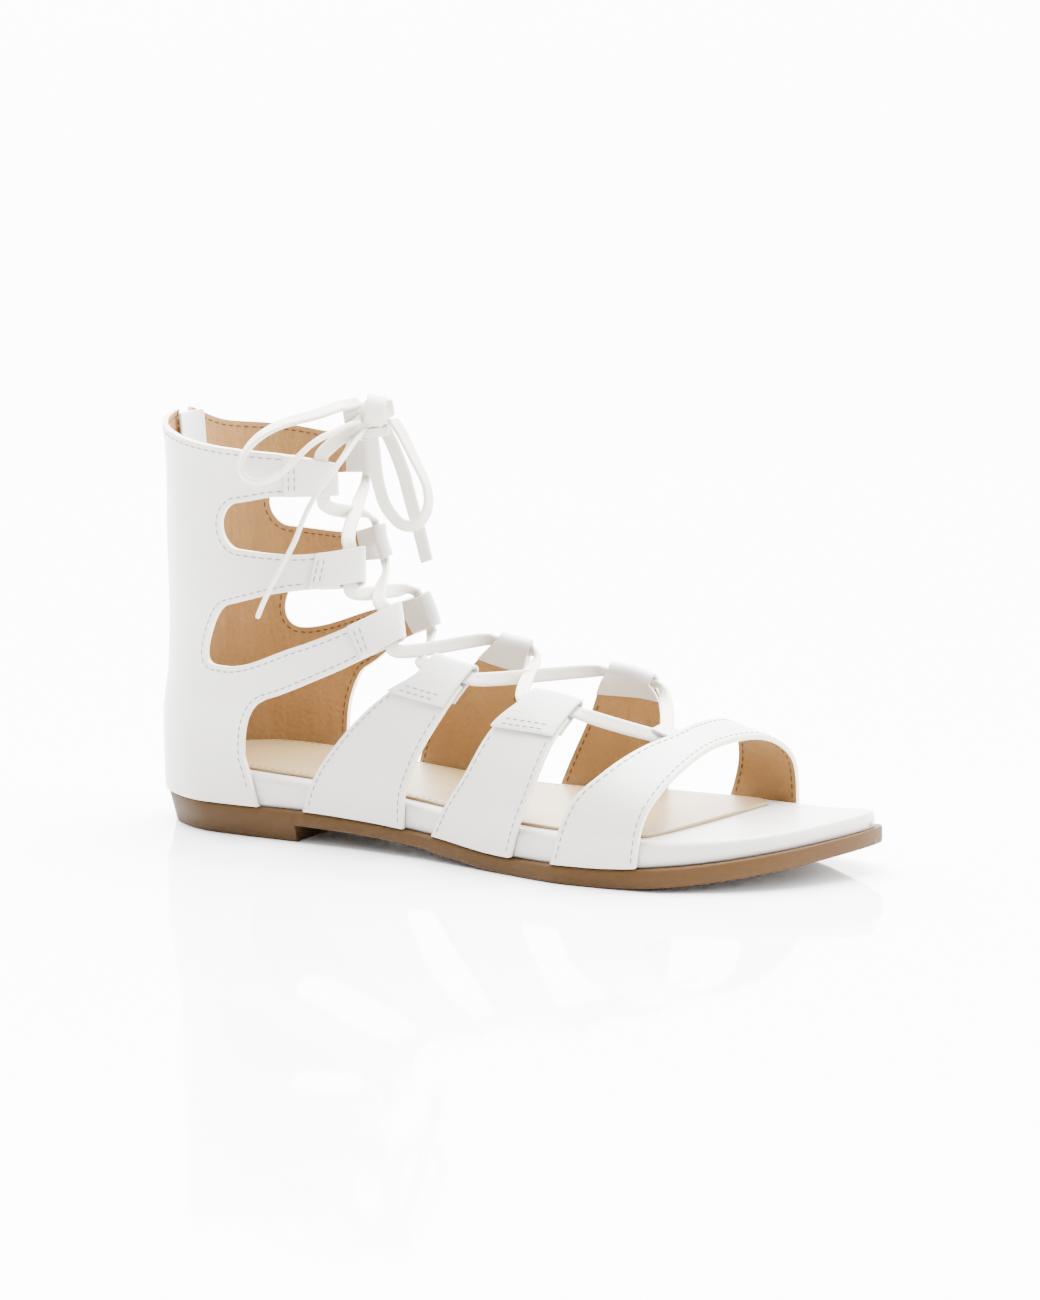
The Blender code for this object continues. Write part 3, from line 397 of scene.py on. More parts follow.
def crowded(first, last, count, start=0.04, stop=0.04):
    """Stations crowded towards both ends as a half circle's projection, short of its ends by two angles."""
    return first + (last - first) * (1 - np.cos(np.linspace(start, np.pi - stop, count))) / 2


def outsole_rings():
    """Rings across the sole: ribbed tread, rounded lower edge, a plain side, and a rounded top edge.

    Each ring point is a share of the half width, a height and a draw towards the heel's breast.
    """
    breast, tread = HEEL_BREAST * LENGTH, TREAD_START * LENGTH
    steps = [breast, breast + STEP_RUN, tread, tread + STEP_RUN]
    x = np.sort(np.concatenate([crowded(0, LENGTH, 560), steps]))
    lateral, medial = sole_edge("lateral", x), sole_edge("medial", x)
    middle, half = (lateral + medial) / 2, (medial - lateral) / 2
    under, top = sheet_under(x), sole_top(x)
    heel = x <= breast
    step = np.where(x <= tread, TREAD_STEP * np.minimum(1, under / TREAD_STEP), 0)
    low = np.where(heel, 0, under + step)
    shrink = np.where(heel, HEEL_TAPER, 0)
    draw = np.where(heel, (1 - x / breast) * HEEL_TAPER, 0)
    ribbed = (heel & (x > RIBS_FROM)) | ((x > tread + RIBS_PAST_STEP) & (x < RIBS_TO * LENGTH))
    rib = np.where(ribbed, RIB_DEPTH * np.abs(np.sin(np.pi * x / RIB_PITCH)), 0)
    corner = np.minimum(SOLE_CORNER, half / 4)
    rows = []
    for width, height, back in (
            (half * 0.55 - shrink, low + rib, draw), (half * 0.9 - shrink, low + rib, draw),
            (half * 0.93 - shrink, low, draw), (half - shrink - corner, low, draw),
            (half - shrink - 0.4 * corner, low + 0.0002, draw), (half - shrink, low + SOLE_CORNER, draw),
            (half - shrink * 0.5, (low + top) / 2, draw / 2), (half, top - SOLE_CORNER, 0 * x),
            (half - 0.3 * corner, top - 0.0003, 0 * x), (half - corner, top, 0 * x),
            (half * 0.5, top, 0 * x)):
        width = np.maximum(width, half * 0.35)
        rows.append((x + back, width, height))
    rows = np.array(rows)
    ring_x = np.concatenate([rows[:, 0], rows[::-1, 0]])
    ring_y = np.concatenate([middle - rows[:, 1], (middle + rows[:, 1])[::-1]])
    ring_z = np.concatenate([rows[:, 2], rows[::-1, 2]])
    return np.stack([ring_x, ring_y, ring_z], axis=-1).transpose(1, 0, 2)


RUBBER = Finish("caramel_rubber", (0.046, 0.0215, 0.0048), 0.6, Specular_IOR_Level=0.15)
RUBBER.relief(RUBBER.noise(1400, 2.0), 0.25, 0.0002)
rings = outsole_rings()
mesh_piece("outsole_rubber", rings, tube_faces(*rings.shape[:2]), [RUBBER], ("outsole",))


# Footbed: a padded board wrapped in the upper's white imitation leather and cemented on the sole.
# Its top edge is rounded over, and its side bellies out a little below.
BED_THICKNESS = 0.0105
BED_BACK = 0.0010
BED_INSET = 0.0022
BED_ROUND = 0.0026
BED_BELLY = (0.0007, 0.0002, 0.0)
BED_LIFT = 0.0001
SIDES = {"lateral": -1.0, "medial": 1.0}


def bed_top(x):
    """Top of the board: the sole's top plus the board's thickness there."""
    return sole_top(x) + BED_THICKNESS * profile("bed", x)


def bed_edge(side, x):
    """The sole's outline, drawn in by the inset away from its ends."""
    share = np.clip((np.asarray(x, float) - BED_BACK) / (LENGTH - BED_INSET - BED_BACK), 0, 1)
    inset = BED_INSET * np.clip(0.35 + 2.2 * share, 0, 1) * np.sqrt(np.sin(turn_of(share)))
    return sole_edge(side, share * LENGTH) - SIDES[side] * inset


def footbed_rings():
    """Rings across the board: a side with a slight belly, and a quarter turn over the top edge."""
    x = crowded(BED_BACK, LENGTH - BED_INSET, 260)
    lateral, medial = bed_edge("lateral", x), bed_edge("medial", x)
    low, top = sole_top(x) + BED_LIFT, bed_top(x)
    edge = np.minimum(BED_ROUND, (medial - lateral) / 4)
    turn = np.linspace(0, np.pi / 2, 7)[:, None]
    inward = np.concatenate([[0 * x + belly for belly in BED_BELLY], edge * (1 - np.cos(turn))])
    side_heights = [low, low * 0.9 + top * 0.1, (low + top - edge) / 2]
    height = np.concatenate([side_heights, top - edge * (1 - np.sin(turn))])
    ring_y = np.concatenate([lateral + inward, (medial - inward)[::-1]])
    ring_z = np.concatenate([height, height[::-1]])
    return np.stack([np.broadcast_to(x, ring_y.shape), ring_y, ring_z], axis=-1).transpose(1, 0, 2)


WHITE = Finish("white_imitation_leather", (0.46, 0.445, 0.425), 0.36, Coat_Weight=0.12, Coat_Roughness=0.3)
WHITE.relief(WHITE.noise(1100, 3.0) * 0.7 + WHITE.noise(130, 2.0) * 1.2, 0.25, 0.0004)
rings = footbed_rings()
mesh_piece("footbed_wrap", rings, tube_faces(*rings.shape[:2]), [WHITE], ("footbed",))


# Sock lining: a sheet of champagne satin stuck on the footbed and sewn round near its edge.
# Its front is an uneven point towards the big toe.
GAP = 0.0003
SOCK_THICKNESS = 0.0008
SOCK_INSET = 0.0045
SOCK_TIP = 0.2076
SOCK_TIP_SIDE = 0.0245
SOCK_POINT = 0.0106
SOCK_STITCH_INSET = 0.0017
SOCK_SEAM_DIP = 0.00025
SOCK_SEAM_REACH = 0.0007
SOCK_EDGE_ROUND = 0.0006
SOCK_LIFT = 0.00005


def sock_edges(x):
    """Lateral and medial edges of the satin: a slanted cut across the front, and a rounded heel."""
    start = BED_BACK + SOCK_INSET
    cut = np.clip(1 - (SOCK_TIP - x) / SOCK_POINT, 0, 1)
    lateral, medial = bed_edge("lateral", x) + SOCK_INSET, bed_edge("medial", x) - SOCK_INSET
    round_end = 0.25 + 0.75 * np.sqrt(np.clip((x - start) / (0.08 * LENGTH), 0, 1))
    middle, half = (lateral + medial) / 2, (medial - lateral) / 2 * round_end
    lateral, medial = middle - half, middle + half
    return lateral + (SOCK_TIP_SIDE - lateral) * cut ** 2, medial + (SOCK_TIP_SIDE - medial) * cut ** 3


def sock_rings():
    """Rings across the satin: a thin sheet with rounded edges, a little drawn down along its stitches."""
    x = crowded(BED_BACK + SOCK_INSET, SOCK_TIP, 320, 0.05, 0.02)
    lateral, medial = sock_edges(x)
    low = bed_top(x) + SOCK_LIFT
    shares = np.concatenate([[0, 0.004], np.linspace(0.012, 0.988, 41), [0.996, 1]])[:, None]
    y = lateral + (medial - lateral) * shares
    from_edge = np.minimum(y - lateral, medial - y)
    top = low + GAP + SOCK_THICKNESS * (0.45 + 0.55 * np.clip(from_edge / SOCK_EDGE_ROUND, 0, 1) ** 0.5)
    top -= SOCK_SEAM_DIP * np.exp(-((from_edge - SOCK_STITCH_INSET) / SOCK_SEAM_REACH) ** 2)
    ring_y = np.concatenate([y, y[[-1, 0]]])
    ring_z = np.concatenate([top, [low, low]])
    return np.stack([np.broadcast_to(x, ring_y.shape), ring_y, ring_z], axis=-1).transpose(1, 0, 2)


SATIN = Finish("champagne_satin", (0.26, 0.180, 0.085), 0.36, Specular_IOR_Level=0.3)
SATIN.relief(SATIN.noise(2600, 1.0, (0.2, 1, 1)) * 0.5 + SATIN.noise(120, 3.0, (1, 0.5, 1)), 0.35, 0.0005)
rings = sock_rings()
mesh_piece("sock_satin", rings, tube_faces(*rings.shape[:2]), [SATIN], ("sock_lining",))


# Leather shaft: heel counter, quarters and three fingers a side, cut in one wall that stands round the
# footbed. White imitation leather outside, tan lining inside, and a pale cut edge.
INSTEP_HEIGHT = 0.067
CROWN_SIDE = 0.006
WALL = 0.0018
WRAP_GAP = 0.00045
SHAFT_HEIGHT = 0.134
ANKLE_HALF_WIDTH = 0.031
SLOT_WIDTH = 0.0070
TUNNEL = 0.0062
CROWN = {
    "along": (0.24, 0.357, 0.417, 0.476, 0.536, 0.595, 0.643, 0.694, 0.754, 0.813, 0.853),
    "height": (1.50, 1.18, 1.075, 1.0, 0.948, 0.91, 0.870, 0.785, 0.662, 0.590, 0.550),
    "lateral": (2.0, 2.0, 2.0, 2.0, 2.0, 2.0, 2.0, 2.0, 2.0, 2.0, 2.0),
    "medial": (2.3, 2.3, 2.3, 2.3, 2.3, 2.3, 2.35, 2.5, 2.8, 3.0, 3.0),
}
OVAL = {
    "up": (0.0, 0.18, 0.28, 0.34, 0.45, 0.54, 0.67, 0.88, 1.0),
    "back": (-0.001, 0.0, 0.008, 0.012, 0.016, 0.018, 0.020, 0.025, 0.022),
    "middle": (0.18, 0.18, 0.185, 0.19, 0.19, 0.18, 0.16, 0.151, 0.151),
    "front_lateral": (0.8, 0.8, 0.45, 0.36, 0.286, 0.233, 0.181, 0.163, 0.163),
    "front_medial": (0.8, 0.8, 0.45, 0.34, 0.262, 0.208, 0.153, 0.143, 0.143),
    "half_width": (0.96, 0.97, 1.0, 1.0, 1.0, 1.0, 0.985, 1.0, 1.04),
}
SHAFT = {
    "lateral": {
        "edge": (0.202, 0.183, 0.223, 0.163, 0.170, 0.188, 0.188, 0.188),
        "hollow": (0.0, 0.0, 0.0, 0.034, 0.0, 0.024, 0.0, 0.0),
        "lean": (1.0, 1.0, 1.0, 0.5, 1.0, 1.0, 1.0, 1.0),
        "tip": (0.405, 0.405, 0.405, 0.386, 0.342, 0.326, 0.298, 0.296),
        "zip": (0.0, 0.127, 0.233, 0.364, 0.460, 0.690, 0.790, 1.0),
        "spine": (0.0, 0.127, 0.245, 0.370, 0.480, 0.695, 0.785, 0.974),
        "start": (0.0, 0.127, 0.290, 0.368, 0.531, 0.678, 0.800, 0.940),
        "mid": (0.0, 0.127, 0.360, 0.433, 0.572, 0.668, 0.817, 0.929),
        "end": (0.0, 0.127, 0.474, 0.556, 0.600, 0.686, 0.817, 0.900),
    },
    "medial": {
        "edge": (0.198, 0.194, 0.215, 0.131, 0.127, 0.107, 0.104, 0.103),
        "hollow": (0.0, 0.0, 0.0, 0.030, 0.0, 0.024, 0.0, 0.0),
        "lean": (1.0, 1.0, 1.0, 0.8, 1.0, 1.0, 1.0, 1.0),
        "tip": (0.340, 0.340, 0.340, 0.335, 0.272, 0.270, 0.255, 0.253),
        "zip": (0.0, 0.127, 0.233, 0.364, 0.460, 0.690, 0.790, 1.0),
        "spine": (0.0, 0.127, 0.245, 0.385, 0.485, 0.690, 0.770, 0.955),
        "start": (0.0, 0.127, 0.298, 0.396, 0.535, 0.670, 0.795, 0.943),
        "mid": (0.0, 0.127, 0.376, 0.450, 0.576, 0.661, 0.817, 0.927),
        "end": (0.0, 0.127, 0.441, 0.531, 0.612, 0.702, 0.837, 0.920),
    },
}
LINE_NUMBERS = np.arange(8)
COLUMN_KEYS = ("zip", "spine", "start", "mid", "end")
COLUMN_AT = (0.0, 0.45, 1.0, 1.43, 2.0)
FINGERS = {"low": (2, 3), "mid": (4, 5), "top": (6, 7)}
WINDOW_LINES = (3, 5)
LEVELS = np.linspace(0, 1, 121)
RUN = np.linspace(0, 0.150, 601)
OVAL_FROM = 0.06
OVAL_OVER = 0.24


def wall_foot(side):
    """Line that the wall stands on: the footbed's edge moved outward by half the wall."""
    x = crowded(BED_BACK, LENGTH - BED_INSET, 520, 0, 0)
    y = bed_edge(side, x)
    dx, dy = np.gradient(x), np.gradient(y)
    size = np.hypot(dx, dy)
    outward = WRAP_GAP + WALL / 2
    return x - SIDES[side] * dy / size * outward, y + SIDES[side] * dx / size * outward


FOOT = {side: wall_foot(side) for side in SIDES}


def lengths_along(points):
    """Running length along the last axis but one of rows of points."""
    steps = np.linalg.norm(np.diff(points, axis=-2), axis=-1)
    return np.concatenate([np.zeros(steps.shape[:-1] + (1,)), np.cumsum(steps, axis=-1)], axis=-1)


def oval_sections(side):
    """Outlines of the shaft at each level: the foot's line blends into an ankle oval as it rises."""
    turn = np.linspace(0, np.pi, 361)
    base = np.stack(FOOT[side], axis=-1)
    base_run = lengths_along(base)
    sections = []
    for level in LEVELS:
        back, middle = (LENGTH * smooth(OVAL["up"], OVAL[key], level) for key in ("back", "middle"))
        front = LENGTH * smooth(OVAL["up"], OVAL["front_" + side], level)
        half = ANKLE_HALF_WIDTH * smooth(OVAL["up"], OVAL["half_width"], level)
        x = middle - np.cos(turn) * np.where(turn < np.pi / 2, middle - back, front)
        oval = np.stack([x, SIDES[side] * half * np.sin(turn)], axis=-1)
        run = lengths_along(oval)
        free = np.array([np.interp(RUN, run, oval[:, 0]), np.interp(RUN, run, oval[:, 1])])
        fixed = np.array([np.interp(RUN, base_run, base[:, 0]), np.interp(RUN, base_run, base[:, 1])])
        share = np.clip((level - OVAL_FROM) / OVAL_OVER, 0, 1)
        share = share * share * (3 - 2 * share)
        sections.append(fixed + (free - fixed) * share)
    return np.array(sections)


SECTIONS = {side: oval_sections(side) for side in SIDES}


def shaft_surface(side, run, level):
    """Point of the wall's middle surface, straight between the outlines and along their points."""
    run, level = np.broadcast_arrays(np.asarray(run, float), np.asarray(level, float))
    row = np.clip(level, 0, 1) * (len(LEVELS) - 1)
    low = np.minimum(row.astype(int), len(LEVELS) - 2)
    column = np.clip(run / RUN[1], 0, len(RUN) - 1.001)
    left = column.astype(int)
    a, b = row - low, column - left
    table = SECTIONS[side]
    x, y = ((1 - a) * ((1 - b) * table[low, i, left] + b * table[low, i, left + 1])
            + a * ((1 - b) * table[low + 1, i, left] + b * table[low + 1, i, left + 1]) for i in (0, 1))
    foot = sole_top(x) + GAP
    z = foot + level * (SHAFT_HEIGHT - sole_top(0.0) - GAP)
    return np.stack([x, y, z], axis=-1)


def run_to(side, x, level):
    """Running length at which the shaft's outline reaches x."""
    low = int(np.clip(level, 0, 1) * (len(LEVELS) - 1))
    outline = SECTIONS[side][low][0]
    last = int(np.argmax(outline))
    return float(np.interp(x, outline[:last + 1], RUN[:last + 1]))


def shaft_places(side, column, line):
    """Running length and level on the shaft's grid: columns run from the zip to the fingers' tips.

    Heights are monotone cubics over the columns. The windows' rear edges are hollowed back as half ellipses,
    and the quarter's front edge turns into the low finger as a quarter ellipse.
    """
    table = SHAFT[side]
    column, line = np.broadcast_arrays(np.asarray(column, float), np.asarray(line, float))
    heights = np.array([[table[key][i] for key in COLUMN_KEYS] for i in LINE_NUMBERS])
    edges = np.array([run_to(side, LENGTH * table["edge"][i], heights[i][2]) for i in LINE_NUMBERS])
    tips = np.array([run_to(side, LENGTH * table["tip"][i], heights[i][4]) for i in LINE_NUMBERS])
    low = np.clip(np.floor(line).astype(int), 0, len(LINE_NUMBERS) - 2)
    share = line - low
    turned = np.where(low == 1, 1 - np.sqrt(np.clip(1 - share ** 2, 0, 1)), share)
    straight = edges[low] + (edges[low + 1] - edges[low]) * share
    edge = edges[low] + (edges[low + 1] - edges[low]) * turned
    leaned = share ** np.array(table["lean"])[low]
    edge = edge - LENGTH * np.array(table["hollow"])[low] * np.sqrt(np.clip(1 - (2 * leaned - 1) ** 2, 0, 1))
    tip = tips[low] + (tips[low + 1] - tips[low]) * share
    start = SLOT_WIDTH / 2
    runs = np.where(column <= 1, start + (edge - start) * column, edge + (tip - edge) * (column - 1))
    reached = np.where(column <= 1, (runs - start) / (straight - start), column)
    at_lines = np.array([smooth(COLUMN_AT, heights[i], reached) for i in LINE_NUMBERS])
    lower = np.take_along_axis(at_lines, low[None], axis=0)[0]
    upper = np.take_along_axis(at_lines, low[None] + 1, axis=0)[0]
    return runs, lower + (upper - lower) * share


def shaft_point(side, column, line):
    """Point of the wall at a column and a line of its grid."""
    return shaft_surface(side, *shaft_places(side, column, line))


def tip_column(side, line):
    """Column where a finger's wall ends, short of its tab's fold by the lace's tunnel."""
    line = np.asarray(line, float)
    first, _ = shaft_places(side, np.ones_like(line), line)
    last, _ = shaft_places(side, 2 * np.ones_like(line), line)
    return 2.0 - (TUNNEL + WALL) / (last - first)


CUT_ROUND = 0.00035


def walled(made, thickness, lining, edge):
    """Gives a sheet its thickness both ways, with the lining inside and the cut edge round it."""
    wall = made.modifiers.new("wall", "SOLIDIFY")
    wall.thickness = thickness
    wall.offset = 0
    wall.material_offset = lining
    wall.material_offset_rim = edge
    return rounded(made, "cut_edge", min(CUT_ROUND, thickness * 0.3), 50)


def grid_piece(name, grid, finishes, replaced, keep=None, thickness=WALL,
               flip=False):
    """Sheet on a grid of points of its middle surface; keep masks the cells that are leather."""
    rows, columns = grid.shape[:2]
    i, j = np.meshgrid(np.arange(rows - 1), np.arange(columns - 1), indexing="ij")
    if keep is not None:
        i, j = i[keep], j[keep]
    corner = i * columns + j
    faces = np.stack([corner, corner + 1, corner + columns + 1, corner + columns], axis=-1).reshape(-1, 4)
    used, numbered = np.unique(faces, return_inverse=True)
    faces = numbered.reshape(-1, 4)
    if flip:
        faces = faces[:, ::-1]
    made = mesh_piece(name, grid.reshape(-1, 3)[used], faces, finishes, replaced)
    return walled(made, thickness, 1 if len(finishes) > 1 else 0, 2 if len(finishes) > 2 else 0)


LINING = Finish("tan_lining", (0.24, 0.13, 0.045), 0.65, Specular_IOR_Level=0.2)
wrinkles = LINING.noise(210, 4.0, (1, 1, 0.22))
LINING.relief(LINING.noise(700, 3.0) * 0.3 + wrinkles, 0.9, 0.0011)
CUT_EDGE = Finish("cream_cut_edge", (0.62, 0.56, 0.45), 0.6)
SPINE_STEPS = 56
FINGER_STEPS = 72
LINE_STEPS = (10, 14, 22, 20, 18, 20, 18)


def shaft_grid():
    """Whole wall from the lateral fingers' tips round the heel to the medial ones, and its kept cells."""
    lines = np.concatenate([[0]] + [i + np.arange(1, n + 1) / n for i, n in enumerate(LINE_STEPS)])
    for window in WINDOW_LINES:
        inside = (lines > window) & (lines < window + 1)
        lines[inside] = window + (1 - np.cos(np.pi * (lines[inside] - window))) / 2
    halves = {}
    for side in SIDES:
        ends = tip_column(side, lines)
        spine = np.linspace(0, 1, SPINE_STEPS + 1)[None, :] * np.ones((len(lines), 1))
        share = np.linspace(0, 1, FINGER_STEPS + 1)[1:] ** 1.25
        fingers = 1 + (ends[:, None] - 1) * share[None, :]
        columns = np.concatenate([spine, fingers], axis=1)
        halves[side] = shaft_point(side, columns, np.repeat(lines[:, None], columns.shape[1], axis=1))
    grid = np.concatenate([halves["lateral"][:, ::-1], halves["medial"]], axis=1)
    half = halves["medial"].shape[1]
    place = (lines[1:] + lines[:-1])[:, None] / 2
    j = np.arange(2 * half - 1)[None, :]
    far = np.where(j < half, half - 2 - j, j - half)
    finger = np.any([(place > low) & (place < high) for low, high in FINGERS.values()], axis=0)
    keep = np.where(j == half - 1, place < 1, (far < SPINE_STEPS) | finger)
    return grid, keep


grid, keep = shaft_grid()
grid_piece("shaft_leather", grid, [WHITE, LINING, CUT_EDGE], ("shaft",), keep, flip=True)


# Straps: two pairs of side straps that fan from the sole to their tabs, and one toe strap over the foot.
# Each is cut from the upper's leather, lined in tan, and is caught between footbed and sole.
STRAPS = {
    "strap_instep_lateral": {"up": (0.0, 0.10, 0.27, 0.50, 0.62, 0.72),
                             "rear": (0.271, 0.285, 0.325, 0.389, 0.428, 0.440),
                             "front": (0.428, 0.429, 0.446, 0.478, 0.491, 0.500)},
    "strap_instep_medial": {"up": (0.0, 0.25, 0.50, 0.70, 0.86),
                            "rear": (0.302, 0.329, 0.380, 0.425, 0.462),
                            "front": (0.452, 0.460, 0.472, 0.488, 0.508)},
    "strap_ball_lateral": {"up": (0.0, 0.10, 0.28, 0.50, 0.62, 0.68),
                           "rear": (0.475, 0.492, 0.529, 0.561, 0.588, 0.596),
                           "front": (0.606, 0.617, 0.640, 0.652, 0.658, 0.660)},
    "strap_ball_medial": {"up": (0.0, 0.25, 0.50, 0.70, 0.80),
                          "rear": (0.508, 0.534, 0.566, 0.592, 0.612),
                          "front": (0.656, 0.660, 0.664, 0.668, 0.673)},
    "toe_strap": {"up": (0.0, 0.25, 0.40, 0.60, 0.80, 1.0, 1.30, 1.60, 2.0),
                  "rear": (0.671, 0.698, 0.726, 0.750, 0.766, 0.768, 0.770, 0.762, 0.735),
                  "front": (0.788, 0.798, 0.806, 0.812, 0.815, 0.820, 0.830, 0.845, 0.845)},
}
FOLD_AT = {"strap_instep_lateral": 0.70, "strap_instep_medial": 0.85,
           "strap_ball_lateral": 0.665, "strap_ball_medial": 0.79}


def crown_height(x):
    """Height of the last's crown line at x."""
    return INSTEP_HEIGHT * smooth(CROWN["along"], CROWN["height"], np.asarray(x, float) / LENGTH)


def last_point(side, x, up):
    """Point on the last's section at x, at a share of the girth from the sole to the crown.

    The section is a short upright wall and a quarter of a superellipse; past the crown it is the medial one.
    """
    x, up = np.broadcast_arrays(np.asarray(x, float), np.asarray(up, float))
    wings = [last_wing(side, x, np.clip(up, 0, 1)), last_wing("medial", x, np.clip(2 - up, 0, 1))]
    return np.where((up <= 1)[..., None], *wings)


def last_wing(side, x, share):
    """Half section of the last: its upright foot and superellipse, read at a share of their own length."""
    turn = np.linspace(0, np.pi / 2 - 1e-6, 160)
    flat, along = x.reshape(-1, 1), share.reshape(-1, 1)
    edge = np.interp(flat, *FOOT[side])
    foot, shoulder = sole_top(flat) + GAP, bed_top(flat)
    power = 2 / smooth(CROWN["along"], CROWN[side], flat / LENGTH)
    y = np.concatenate([edge, CROWN_SIDE + (edge - CROWN_SIDE) * np.cos(turn) ** power], axis=1)
    z = np.concatenate([foot, shoulder + (crown_height(flat) - shoulder) * np.sin(turn) ** power], axis=1)
    girth = lengths_along(np.stack([y, z], axis=-1))
    at = along * girth[:, -1:]
    k = np.clip((girth <= at).sum(axis=1, keepdims=True) - 1, 0, girth.shape[1] - 2)
    here, after = np.take_along_axis(girth, k, 1), np.take_along_axis(girth, k + 1, 1)
    t = (at - here) / (after - here)
    y, z = ((1 - t) * np.take_along_axis(v, k, 1) + t * np.take_along_axis(v, k + 1, 1) for v in (y, z))
    return np.concatenate([flat, y, z], axis=1).reshape(x.shape + (3,))


def strap_point(name, up, across):
    """Point on a strap's middle surface: across runs from its rear edge to its front edge."""
    table = STRAPS[name]
    up, across = np.broadcast_arrays(np.asarray(up, float), np.asarray(across, float))
    rear = LENGTH * smooth(table["up"], table["rear"], up)
    front = LENGTH * smooth(table["up"], table["front"], up)
    side = "medial" if name.endswith("medial") else "lateral"
    return last_point(side, rear + (front - rear) * across, up)


def metre_of(surface, share, back=0.02):
    """Share of a strap's length in one metre of it, near a place: a small share over its length."""
    ends = surface(np.array([share - back, share]), np.array([0.5, 0.5]))
    return back / np.linalg.norm(ends[1] - ends[0])


def surface_of(name):
    """A strap's surface as a function of its two shares alone."""
    return lambda share, across: strap_point(name, share, across)


TABS = {}
for strap_name in STRAPS:
    strap_surface = surface_of(strap_name)
    last_share, steps = 2.0, 190
    if strap_name in FOLD_AT:
        fold = FOLD_AT[strap_name]
        metre = metre_of(strap_surface, fold)
        TABS["tab" + strap_name[5:]] = (strap_surface, fold, metre)
        last_share, steps = fold - TUNNEL * metre, 90
    grid = strap_surface(np.linspace(0, last_share, steps)[:, None], np.linspace(0, 1, 25)[None, :])
    grid_piece(strap_name + "_leather", grid, [WHITE, LINING, CUT_EDGE], (strap_name,),
               flip="lateral" not in strap_name and strap_name != "toe_strap")


# Tabs: a folded piece of leather sewn round the end of each finger and strap, open at both sides as the
# tunnel that the lace runs through.
TAB_WALL = 0.0010
TAB_OUTER_LEG = 0.0150
TAB_INNER_LEG = 0.0120
FOLD_RADIUS = 0.0022
NEAR_ALONG = 0.0004
NEAR_ACROSS = 0.03
for finger, (low_line, high_line) in FINGERS.items():
    for shoe_side in SIDES:
        def finger_surface(share, across, s=shoe_side, low=low_line, high=high_line):
            """Finger's surface: columns along it, and its two lines blended by the share across."""
            return shaft_point(s, share, low + (high - low) * np.asarray(across))
        metre = metre_of(finger_surface, 1.9)
        TABS["tab_%s_%s" % (finger, shoe_side)] = (finger_surface, 2.0 - FOLD_RADIUS * metre, metre)


def on_surface(surface, share, across, metre):
    """Points of a surface with their directions: along it, across it, and outwards from the foot."""
    share, across = np.broadcast_arrays(np.asarray(share, float), np.asarray(across, float))
    near = NEAR_ALONG * metre
    here = surface(share, across)
    along = unit(surface(share + near, across) - surface(share - near, across))
    sideways = unit(surface(share, across + NEAR_ACROSS) - surface(share, across - NEAR_ACROSS))
    normal = unit(np.cross(along, sideways))
    centre = np.stack([np.full(here.shape[:-1], LENGTH * 0.4), np.full(here.shape[:-1], CROWN_SIDE),
                       here[..., 2] * 0.5], axis=-1)
    out = here - centre
    lean = out[..., 1] * normal[..., 1] + np.maximum(out[..., 2], 0) * normal[..., 2]
    return here, along, sideways, normal * np.sign(np.sum(lean))


def tab_grid(surface, fold_at, metre):
    """Tab's sheet: down the outside, round the fold as a half circle, and back up inside."""
    lift = WALL / 2 + WRAP_GAP + TAB_WALL / 2
    across = np.linspace(0, 1, 13)
    legs = [(fold_at - TAB_OUTER_LEG * metre * k, lift, 0.0) for k in np.linspace(1, 0, 16)]
    legs += [(fold_at, lift * np.cos(a), lift * np.sin(a)) for a in np.linspace(0, np.pi, 15)[1:-1]]
    legs += [(fold_at - TAB_INNER_LEG * metre * k, -lift, 0.0) for k in np.linspace(0, 1, 8)]
    legs = np.array(legs)
    here, along, _, normal = on_surface(surface, legs[:, :1], across[None, :], metre)
    return here + normal * legs[:, 1, None, None] + along * legs[:, 2, None, None]


for tab_name, place in TABS.items():
    grid_piece(tab_name + "_leather", tab_grid(*place), [WHITE], (tab_name,), thickness=TAB_WALL,
               flip=tab_name.endswith("medial"))


# Toe loop: a small loop of the same leather, sewn under the toe strap's rear edge.
# The lacing starts in it.
LOOP_WIDTH = 0.0066
LOOP_OPENING = 0.0028
LOOP_REACH = 0.0068
LOOP_SEWN = 0.0060
LOOP_AT = 0.84


def toe_loop():
    """Strip of leather back from the strap's edge, round a half circle, and forward again below."""
    def crosswise(share, across):
        """The toe strap's surface with its two shares exchanged."""
        return strap_point("toe_strap", across, share)

    here, forward, strapwise, out = on_surface(crosswise, 0.0, LOOP_AT, 1 / (0.05 * LENGTH))
    rearward = -forward
    out = out if out[2] > 0 else -out
    drop = WALL / 2 + GAP + TAB_WALL / 2
    radius = LOOP_OPENING / 2 + TAB_WALL / 2
    path = [(back, -drop) for back in np.linspace(-LOOP_SEWN, LOOP_REACH, 12)]
    path += [(LOOP_REACH + radius * np.sin(a), -drop - radius + radius * np.cos(a))
             for a in np.linspace(0, np.pi, 17)[1:]]
    path += [(back, -drop - 2 * radius) for back in np.linspace(LOOP_REACH, -LOOP_SEWN, 12)[1:]]
    path = np.array(path)[:, None, :]
    wide = (np.linspace(-0.5, 0.5, 9) * LOOP_WIDTH)[None, :, None]
    grid = here + rearward * path[..., :1] + out * path[..., 1:] + strapwise * wide
    grid_piece("toe_loop_leather", grid, [WHITE], ("toe_loop",), thickness=TAB_WALL)
    lace_back = LOOP_REACH + LOOP_OPENING / 2 - LACE_WIDTH / 2 - 3 * GAP
    centre = here + rearward * lace_back - out * (drop + radius)
    return centre, strapwise * np.sign(strapwise[1]), out


loop_centre, loop_side, loop_out = toe_loop()


